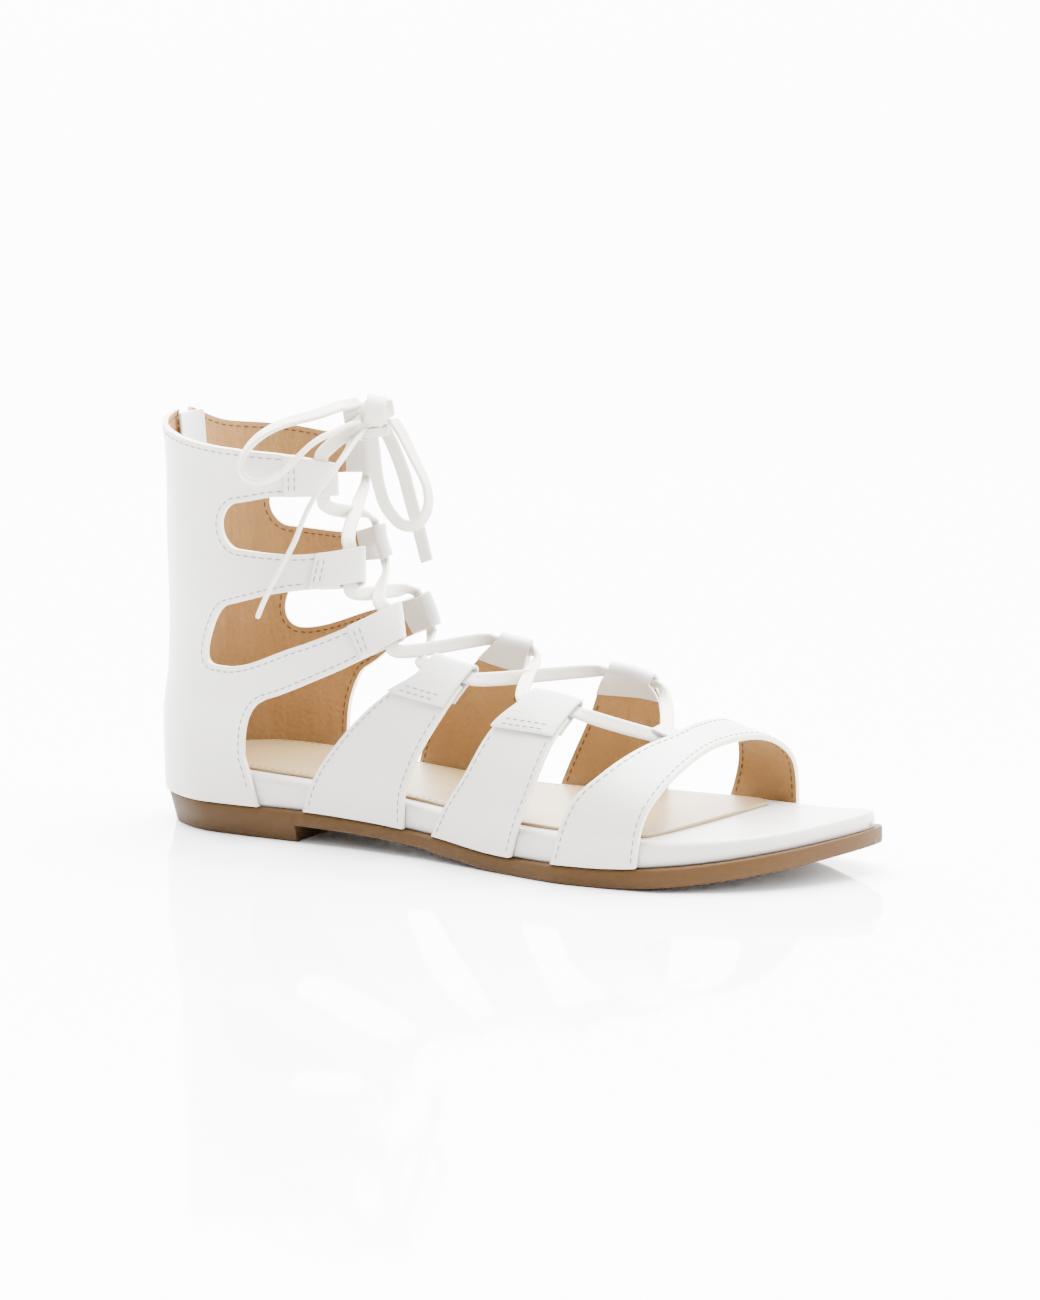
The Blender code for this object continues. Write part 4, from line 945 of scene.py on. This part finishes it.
# Lacing: the same flat cord, from the toe loop both ways through the tabs in a criss-cross to the knot.
# Each run lists its tabs and the side, 0 or 1, by which it enters them.
MOUTH_GAP = 0.0011
SPAN_PULL = 0.32
SPAN_LEAN = 1.5
TUNNEL_MIDDLE = 0.42
KNOT_AT = np.array((0.0802, 0.0, 0.1362))
KNOT_REACH = 0.004
LEFT_RUN = (("ball_lateral", 1), ("instep_medial", 1), ("low_lateral", 0), ("mid_medial", 0),
            ("top_lateral", 0))
RIGHT_RUN = (("ball_medial", 1), ("instep_lateral", 1), ("low_medial", 0), ("mid_lateral", 0),
             ("top_medial", 0))


def mouth(tab_name, across):
    """Mouth of a tab's tunnel, with its outward direction and its normal."""
    surface, fold_at, metre = TABS["tab_" + tab_name]
    inside = fold_at - TUNNEL * TUNNEL_MIDDLE * metre
    here, _, sideways, normal = on_surface(surface, inside, float(across), metre)
    outward = sideways if across else -sideways
    return here + outward * MOUTH_GAP, outward, normal


def span(start, end, bow, count=40):
    """Cord between two mouths: a Hermite curve that leaves each straight out, lifted midway by the bow.

    Its broad side turns from one mouth's normal to the other's, and leans out from the shoe between them.
    """
    (p0, d0, n0), (p1, d1, n1) = start, end
    reach = np.linalg.norm(p1 - p0)
    t = np.linspace(0, 1, count)[:, None]
    pull0, pull1 = d0 * reach * SPAN_PULL, -d1 * reach * SPAN_PULL
    path = ((1 + 2 * t) * (1 - t) ** 2 * p0 + t * (1 - t) ** 2 * pull0
            + t * t * (3 - 2 * t) * p1 - t * t * (1 - t) * pull1)
    facing = n0 * (1 - t) + n1 * t + VIEW_BACK * np.sin(np.pi * t) * SPAN_LEAN
    return path + unit(n0 + n1) * bow * np.sin(np.pi * t) ** 2, facing


def lacing(name, turns, lift, first, replaced):
    """One half of the lace: spans between the tabs, and the straight stretches through their tunnels.

    A mouth's normal is taken towards the camera, so that the broad side never flips between two tabs.
    """
    paths, facings = [], []
    place = first
    for tab_name, enter in turns:
        inlet, outlet = mouth(tab_name, enter), mouth(tab_name, 1 - enter)
        seen = 1.0 if (inlet[2] + outlet[2]) @ VIEW_BACK > 0 else -1.0
        inlet, outlet = (inlet[0], inlet[1], inlet[2] * seen), (outlet[0], outlet[1], outlet[2] * seen)
        path, facing = span(place, inlet, lift if paths else 0.0)
        share = np.linspace(0, 1, 14)[1:-1, None]
        paths += [path, inlet[0] * (1 - share) + outlet[0] * share]
        facings += [facing, inlet[2] * (1 - share) + outlet[2] * share]
        place = outlet
    to_knot = KNOT_AT + unit(place[0] - KNOT_AT) * KNOT_REACH
    path, facing = span(place, (to_knot, unit(place[0] - to_knot), place[2]), 0.0, 24)
    paths.append(path)
    facings.append(facing)
    path, facing = np.concatenate(paths), unit(np.concatenate(facings))
    lace_piece(name, lace_rings(path, facing), replaced)


for name, turns, sense, lift in (("lacing_from_lateral", LEFT_RUN, -1.0, LACE_THICKNESS * 0.4),
                                 ("lacing_from_medial", RIGHT_RUN, 1.0, -LACE_THICKNESS * 0.2)):
    start = (loop_centre + loop_side * sense * (LOOP_WIDTH / 2 + GAP) * 0.1, loop_side * sense, loop_out)
    replaced = ("lace_toe", "lace_cross_ball", "lace_cross_instep") if sense < 0 else (
        "lace_cross_low", "lace_cross_mid")
    lacing(name, turns, lift, start, replaced)


# Knot: the flat cord wrapped round itself in three turns over one another, with a band below them, and the
# start of the loops and a stub at its sides. It is the same cord, so it shares its material and section.
CAMERA_RIGHT = np.array([np.cos(CAMERA_AZIMUTH), np.sin(CAMERA_AZIMUTH), 0.0])
TO_CAMERA = np.array([CAMERA_RIGHT[1], -CAMERA_RIGHT[0], 0.0])
UPRIGHT = np.array([0.0, 0.0, 1.0])
KNOT_CENTRE = np.array([0.0803, 0.0, 0.1357])
KNOT_TURNS = (
    {"drop": 0.0, "tilt": 78, "radii": (0.0045, 0.0040), "width": 0.0066},
    {"drop": 0.0006, "tilt": 24, "radii": (0.0046, 0.0034), "width": 0.0062},
    {"drop": 0.0004, "tilt": 128, "radii": (0.0042, 0.0036), "width": 0.0050},
    {"drop": 0.0062, "tilt": 4, "radii": (0.0036, 0.0030), "width": 0.0032},
)
TURN_THICKNESS = LACE_THICKNESS * 1.15
TURN_GROWTH = 0.06
TURN_ENDS = (-0.6 * np.pi, 1.5 * np.pi)
KNOT_STUBS = (
    {"from": 0.0020, "to": 0.0060, "rise": 0.0009, "width": 0.0050},
    {"from": -0.0010, "to": -0.0098, "rise": -0.0004, "width": 0.0052},
)
STUB_THICKNESS = 0.0024
STUB_SLOPE = 0.14
STUB_FORWARD = 0.0014


def joined(parts):
    """Vertices and faces of several closed tubes as one mesh."""
    vertices, faces, first = [], [], 0
    for rings in parts:
        count, around = rings.shape[:2]
        faces += [[corner + first for corner in face] for face in tube_faces(count, around)]
        vertices.append(rings.reshape(-1, 3))
        first += count * around
    return np.concatenate(vertices), faces


def knot_parts():
    """Turns, stub and the broad start of the loops, as tubes of flat cord.

    Each turn is an ellipse in an upright plane towards the camera, tilted in the view; it overlaps itself
    behind, and its broad side faces out from its centre.
    """
    parts = []
    angle = np.linspace(*TURN_ENDS, 72)[:, None]
    grow = 1 + TURN_GROWTH * (angle - angle[0]) / (2 * np.pi)
    for turn in KNOT_TURNS:
        tilt, (long, deep) = np.radians(turn["tilt"]), turn["radii"]
        first = CAMERA_RIGHT * np.cos(tilt) + UPRIGHT * np.sin(tilt)
        centre = KNOT_CENTRE - UPRIGHT * turn["drop"]
        path = centre + first * np.cos(angle) * long * grow + TO_CAMERA * np.sin(angle) * deep * grow
        out = unit(first * np.cos(angle) / long + TO_CAMERA * np.sin(angle) / deep)
        parts.append(lace_rings(path, out, turn["width"], TURN_THICKNESS))
    for stub in KNOT_STUBS:
        reach = np.linspace(stub["from"], stub["to"], 16)[:, None]
        rise = stub["rise"] + reach * STUB_SLOPE
        path = KNOT_CENTRE + CAMERA_RIGHT * reach + UPRIGHT * rise + TO_CAMERA * STUB_FORWARD
        facing = np.broadcast_to(TO_CAMERA, path.shape)
        parts.append(lace_rings(path, facing, stub["width"], STUB_THICKNESS))
    return parts


vertices, faces = joined(knot_parts())
mesh_piece("lace_knot_turns", vertices, faces, [LACE], ("lace_knot",))


# Zip: a woven tape behind the slot in the heel and moulded teeth up its middle. The metal slider and its
# teardrop pull keep their solids and get the material alone.
TAPE_WIDTH = 0.0130
TAPE_THICKNESS = 0.0008
TAPE_TUCK = 0.004
TEETH_THICKNESS = 0.0014
TOOTH_PITCH = 0.0015
TOOTH_SIZE = (0.0011, 0.0026, TEETH_THICKNESS)
TOOTH_SIDESTEP = 0.0008
TOOTH_ROUNDING = 0.45
SLIDER_LENGTH = 0.0098
SLIDER_DROP = 0.0035
SLOT_FOOT = 0.127
WALL_RISE = SHAFT_HEIGHT - sole_top(0.0) - GAP


def back_line(z):
    """Points up the back of the wall, with their directions up and outward."""
    level = (z - sole_top(0.0) - GAP) / WALL_RISE
    none = np.zeros_like(level)
    here = shaft_surface("medial", none, level)
    up = unit(shaft_surface("medial", none, level + 0.01) - shaft_surface("medial", none, level - 0.01))
    return here, up, np.stack([-up[:, 2], none, up[:, 0]], axis=-1)


def beads(centres, axes, sizes, power=1.0, steps=(4, 6)):
    """Vertices and faces of rounded blocks: sizes along three axes, the power squaring their sections."""
    rows, around = steps
    rise = np.linspace(-1.25, 1.25, rows)[:, None]
    turn = np.linspace(0, 2 * np.pi, around, endpoint=False)[None, :]
    shape = [np.sin(rise) + 0 * turn, np.cos(rise) * np.cos(turn), np.cos(rise) * np.sin(turn)]
    shape = [np.sign(v) * np.abs(v) ** power / 2 for v in shape]
    points = centres[:, None, None] + sum(shape[k][None, :, :, None] * sizes[k] * axes[k][:, None, None]
                                          for k in range(3))
    one = tube_faces(rows, around)
    faces = [[corner + i * rows * around for corner in face] for i in range(len(centres)) for face in one]
    return points.reshape(-1, 3), faces


TAPE = Finish("zip_tape", (0.60, 0.60, 0.60), 0.8)
TAPE.relief(TAPE.noise(2400, 1.0, (1, 1, 0.4)), 0.5, 0.0003)
PLASTIC = Finish("zip_teeth", (0.62, 0.62, 0.61), 0.35)
METAL = Finish("silver_zip", (0.72, 0.72, 0.71), 0.26, Metallic=0.9)
slot_foot_height = sole_top(0.0) + GAP + SLOT_FOOT * WALL_RISE
here, up, out = back_line(np.linspace(slot_foot_height - TAPE_TUCK, SHAFT_HEIGHT - 0.001, 90))
tape_in = -(WALL / 2 + 3 * GAP + TAPE_THICKNESS / 2)
widths = np.linspace(-0.5, 0.5, 25) * TAPE_WIDTH
bowed = np.stack([widths ** 2 / ANKLE_HALF_WIDTH, widths, 0 * widths], axis=-1)
grid = (here + out * tape_in)[:, None] + bowed
grid_piece("zip_tape_cloth", grid, [TAPE], ("zip_tape",), thickness=TAPE_THICKNESS)
teeth_top = SHAFT_HEIGHT - SLIDER_DROP - SLIDER_LENGTH + 0.002
here, up, out = back_line(np.arange(slot_foot_height + 0.001, teeth_top, TOOTH_PITCH / 2))
sideways = np.broadcast_to([0.0, 1.0, 0.0], here.shape)
which = np.where(np.arange(len(here)) % 2 == 0, 1.0, -1.0)[:, None]
teeth_out = tape_in + (TAPE_THICKNESS + TEETH_THICKNESS) / 2 + GAP
teeth_at = here + out * teeth_out + sideways * which * TOOTH_SIDESTEP
vertices, faces = beads(teeth_at, (up, -sideways, out), TOOTH_SIZE, TOOTH_ROUNDING, (6, 10))
mesh_piece("zip_teeth_row", vertices, faces, [PLASTIC], ("zip_teeth",))
for node_name in ("zip_slider", "zip_pull"):
    for place in bpy.data.objects[node_name].material_slots:
        place.material = METAL.material


# Stitches: every edge of the upper is sewn round a little inside it: pale thread outside, painted dark grey
# as the shade of its dimple, and brown thread on the lining; the tabs have two rows across their sewn ends.
STITCH_INSET = 0.0017
STITCH_PITCH = 0.0027
STITCH_SIZE = (0.0020, 0.00050, 0.00036)
STITCH_LIFT = 0.00004
TAB_ROWS = (0.0014, 0.0032)
OUTER_ROWS = []
LINING_ROWS = []


def stitch_row(points, normals, lift):
    """Centres and axes of even stitches along a line on a surface, lifted off its middle."""
    run = lengths_along(points)
    at = (np.arange(int(run[-1] / STITCH_PITCH)) + 0.5) * STITCH_PITCH

    def spread(values, where):
        """Values read at lengths along the line, straight between its points."""
        return np.stack([np.interp(where, run, values[:, k]) for k in range(3)], axis=-1)

    ahead = unit(spread(points, at + 0.0003) - spread(points, at - 0.0003))
    normal = unit(spread(normals, at))
    return spread(points, at) + normal * lift, ahead, unit(np.cross(ahead, normal)), normal


def sew(points, normals, lift=WALL / 2, inside=True):
    """Row of stitches on the outer face, and the same row on the lining where the seam goes through."""
    OUTER_ROWS.append(stitch_row(points, normals, lift + STITCH_LIFT))
    if inside:
        LINING_ROWS.append(stitch_row(points, normals, -lift - STITCH_LIFT))


def inset(edge, distance):
    """Line to the left of a flat edge at an even distance, without the points that come nearer to it."""
    run = lengths_along(edge)
    at = np.arange(0, run[-1], 0.0005)
    edge = np.stack([np.interp(at, run, edge[:, k]) for k in (0, 1)], axis=-1)
    ahead = unit(np.gradient(edge, axis=0))
    moved = edge + np.stack([-ahead[:, 1], ahead[:, 0]], axis=-1) * distance
    nearest = np.linalg.norm(moved[:, None] - edge[None], axis=-1).min(axis=1)
    return moved[nearest > distance * 0.97]


def shaft_edges(side):
    """Edges of one half of the shaft as columns and lines, each with the leather on its left."""
    up, along = np.linspace(0, 1, 60), np.linspace(0, 1, 60)
    ends = {}
    for finger, (low_line, _) in FINGERS.items():
        surface, fold_at, metre = TABS["tab_%s_%s" % (finger, side)]
        ends[low_line] = ends[low_line + 1] = fold_at - TAB_OUTER_LEG * metre
    outward = {line: 1 + (ends[line] - 1) * along for line in ends}
    flat = np.ones(60)
    yield np.concatenate([flat, outward[2]]), np.concatenate([0.4 + 1.6 * up, 2 * flat])
    for line in WINDOW_LINES:
        yield (np.concatenate([outward[line][::-1], flat, outward[line + 1]]),
               np.concatenate([line * flat, line + up, (line + 1) * flat]))
    yield np.concatenate([outward[7][::-1], 1 - up]), 7 * np.ones(120)
    yield np.zeros(60), 7 - 5.9 * up


for shoe_side, sense in SIDES.items():
    for column, line in shaft_edges(shoe_side):
        run, level = shaft_places(shoe_side, column, line)
        sewn = inset(np.stack([run, level * WALL_RISE], axis=-1), STITCH_INSET)
        run, level = sewn[:, 0], sewn[:, 1] / WALL_RISE
        here = shaft_surface(shoe_side, run, level)
        along = shaft_surface(shoe_side, run + 0.0004, level) - shaft_surface(shoe_side, run - 0.0004, level)
        rising = shaft_surface(shoe_side, run, level + 0.01) - shaft_surface(shoe_side, run, level - 0.01)
        sew(here, unit(np.cross(along, rising)) * -sense)
for strap_name in STRAPS:
    strap_surface = surface_of(strap_name)
    last_share = 1.985
    if strap_name in FOLD_AT:
        surface, fold_at, metre = TABS["tab" + strap_name[5:]]
        last_share = fold_at - TAB_OUTER_LEG * metre
    share = np.linspace(0.02, last_share, 240)
    rear, front = strap_surface(share, np.zeros(240)), strap_surface(share, np.ones(240))
    width = np.linalg.norm(front - rear, axis=-1)
    for across in (STITCH_INSET / width, 1 - STITCH_INSET / width):
        here, _, _, normal = on_surface(strap_surface, share, across, 10.0)
        sew(here, normal)
for surface, fold_at, metre in TABS.values():
    for back in TAB_ROWS:
        share = np.full(40, fold_at - (TAB_OUTER_LEG - back) * metre)
        here, _, _, normal = on_surface(surface, share, np.linspace(0.12, 0.88, 40), metre)
        sew(here, normal, WALL / 2 + WRAP_GAP + TAB_WALL, inside=False)
sock_back = BED_BACK + SOCK_INSET
x = sock_back + (SOCK_TIP - sock_back) * turn_of(np.linspace(0, 1, 400)) / np.pi
lateral, medial = sock_edges(x)
outline = np.concatenate([np.stack([x, lateral], axis=-1), np.stack([x, medial], axis=-1)[::-1]])
sewn = inset(outline, SOCK_STITCH_INSET)
sewn_height = bed_top(sewn[:, 0]) + GAP + SOCK_THICKNESS * 0.75
here = np.stack([sewn[:, 0], sewn[:, 1], sewn_height], axis=-1)
sock_row = stitch_row(here, np.broadcast_to(UPRIGHT, here.shape), 0.0)

# The outer thread is coloured dark grey: painted shade of the dimple that the pale thread sits in.
PAINTED_SHADE_THREAD = Finish("pale_thread_painted_dimple_shade", (0.17, 0.17, 0.18), 0.7, Specular_IOR_Level=0.2)
BROWN_THREAD = Finish("brown_thread", (0.07, 0.034, 0.013), 0.7, Specular_IOR_Level=0.2)
GOLD_THREAD = Finish("gold_thread", (0.15, 0.095, 0.045), 0.6, Specular_IOR_Level=0.2)
for name, rows, finish in (("stitches_outside", OUTER_ROWS, PAINTED_SHADE_THREAD),
                           ("stitches_lining", LINING_ROWS, BROWN_THREAD),
                           ("stitches_sock", [sock_row], GOLD_THREAD)):
    centres, *axes = (np.concatenate(parts) for parts in zip(*rows))
    vertices, faces = beads(centres, axes, STITCH_SIZE)
    mesh_piece(name, vertices, faces, [finish])


# Floor and light: a glossy white sheet under a bright, even studio.
# A broad lamp stands overhead, two soft boxes on the camera's side, and a white surround brighter behind.
FLOOR = Finish("white_floor", (0.92, 0.92, 0.92), 0.05, Specular_IOR_Level=0.3)
SURROUND_FRONT = 1.2
SURROUND_REAR = 13.0
SURROUND_TURN = (-0.4, 0.3)
SUN = {"strength": 24.0, "spread": np.radians(70), "from": (-0.15, 0.25, 1.0)}
SOFT_BOXES = {
    "key": {"place": (1.3, -1.4, 1.2), "size": 0.9, "power": 16},
    "fill": {"place": (-0.7, -1.4, 1.0), "size": 0.9, "power": 3},
}


def turned_lamp(name, kind, place):
    """Lamp at a place, turned to face the shoe."""
    data = bpy.data.lights.new(name, kind)
    lamp = bpy.data.objects.new(name, data)
    back = unit(np.array(place) - CAMERA_TARGET)
    right = unit(np.cross([0, 0, 1], back))
    matrix = np.eye(4)
    matrix[:3, :3] = np.stack([right, np.cross(back, right), back], axis=1)
    matrix[:3, 3] = place
    lamp.matrix_world = Matrix(matrix.tolist())
    bpy.context.scene.collection.objects.link(lamp)
    return data


bpy.ops.mesh.primitive_plane_add(size=80)
floor = bpy.context.object
floor.name = "studio_floor"
floor.data.materials.append(FLOOR.material)
for name, box in SOFT_BOXES.items():
    lamp = turned_lamp(name, "AREA", box["place"])
    lamp.size = box["size"]
    lamp.energy = box["power"]
lamp = turned_lamp("overhead", "SUN", np.array(SUN["from"]) * 3)
lamp.energy = SUN["strength"]
lamp.angle = SUN["spread"]
surround = bpy.data.worlds.new("white_surround")
bpy.context.scene.world = surround
surround.use_nodes = True
tree = surround.node_tree
heading = tree.nodes.new("ShaderNodeSeparateXYZ")
tree.links.new(tree.nodes.new("ShaderNodeTexCoord").outputs["Generated"], heading.inputs[0])
ramp = tree.nodes.new("ShaderNodeMapRange")
stops = (*SURROUND_TURN, SURROUND_FRONT, SURROUND_REAR)
for socket, value in zip(("From Min", "From Max", "To Min", "To Max"), stops):
    ramp.inputs[socket].default_value = value
tree.links.new(heading.outputs["Y"], ramp.inputs["Value"])
tree.nodes["Background"].inputs["Color"].default_value = (1, 1, 1, 1)
tree.links.new(ramp.outputs["Result"], tree.nodes["Background"].inputs["Strength"])
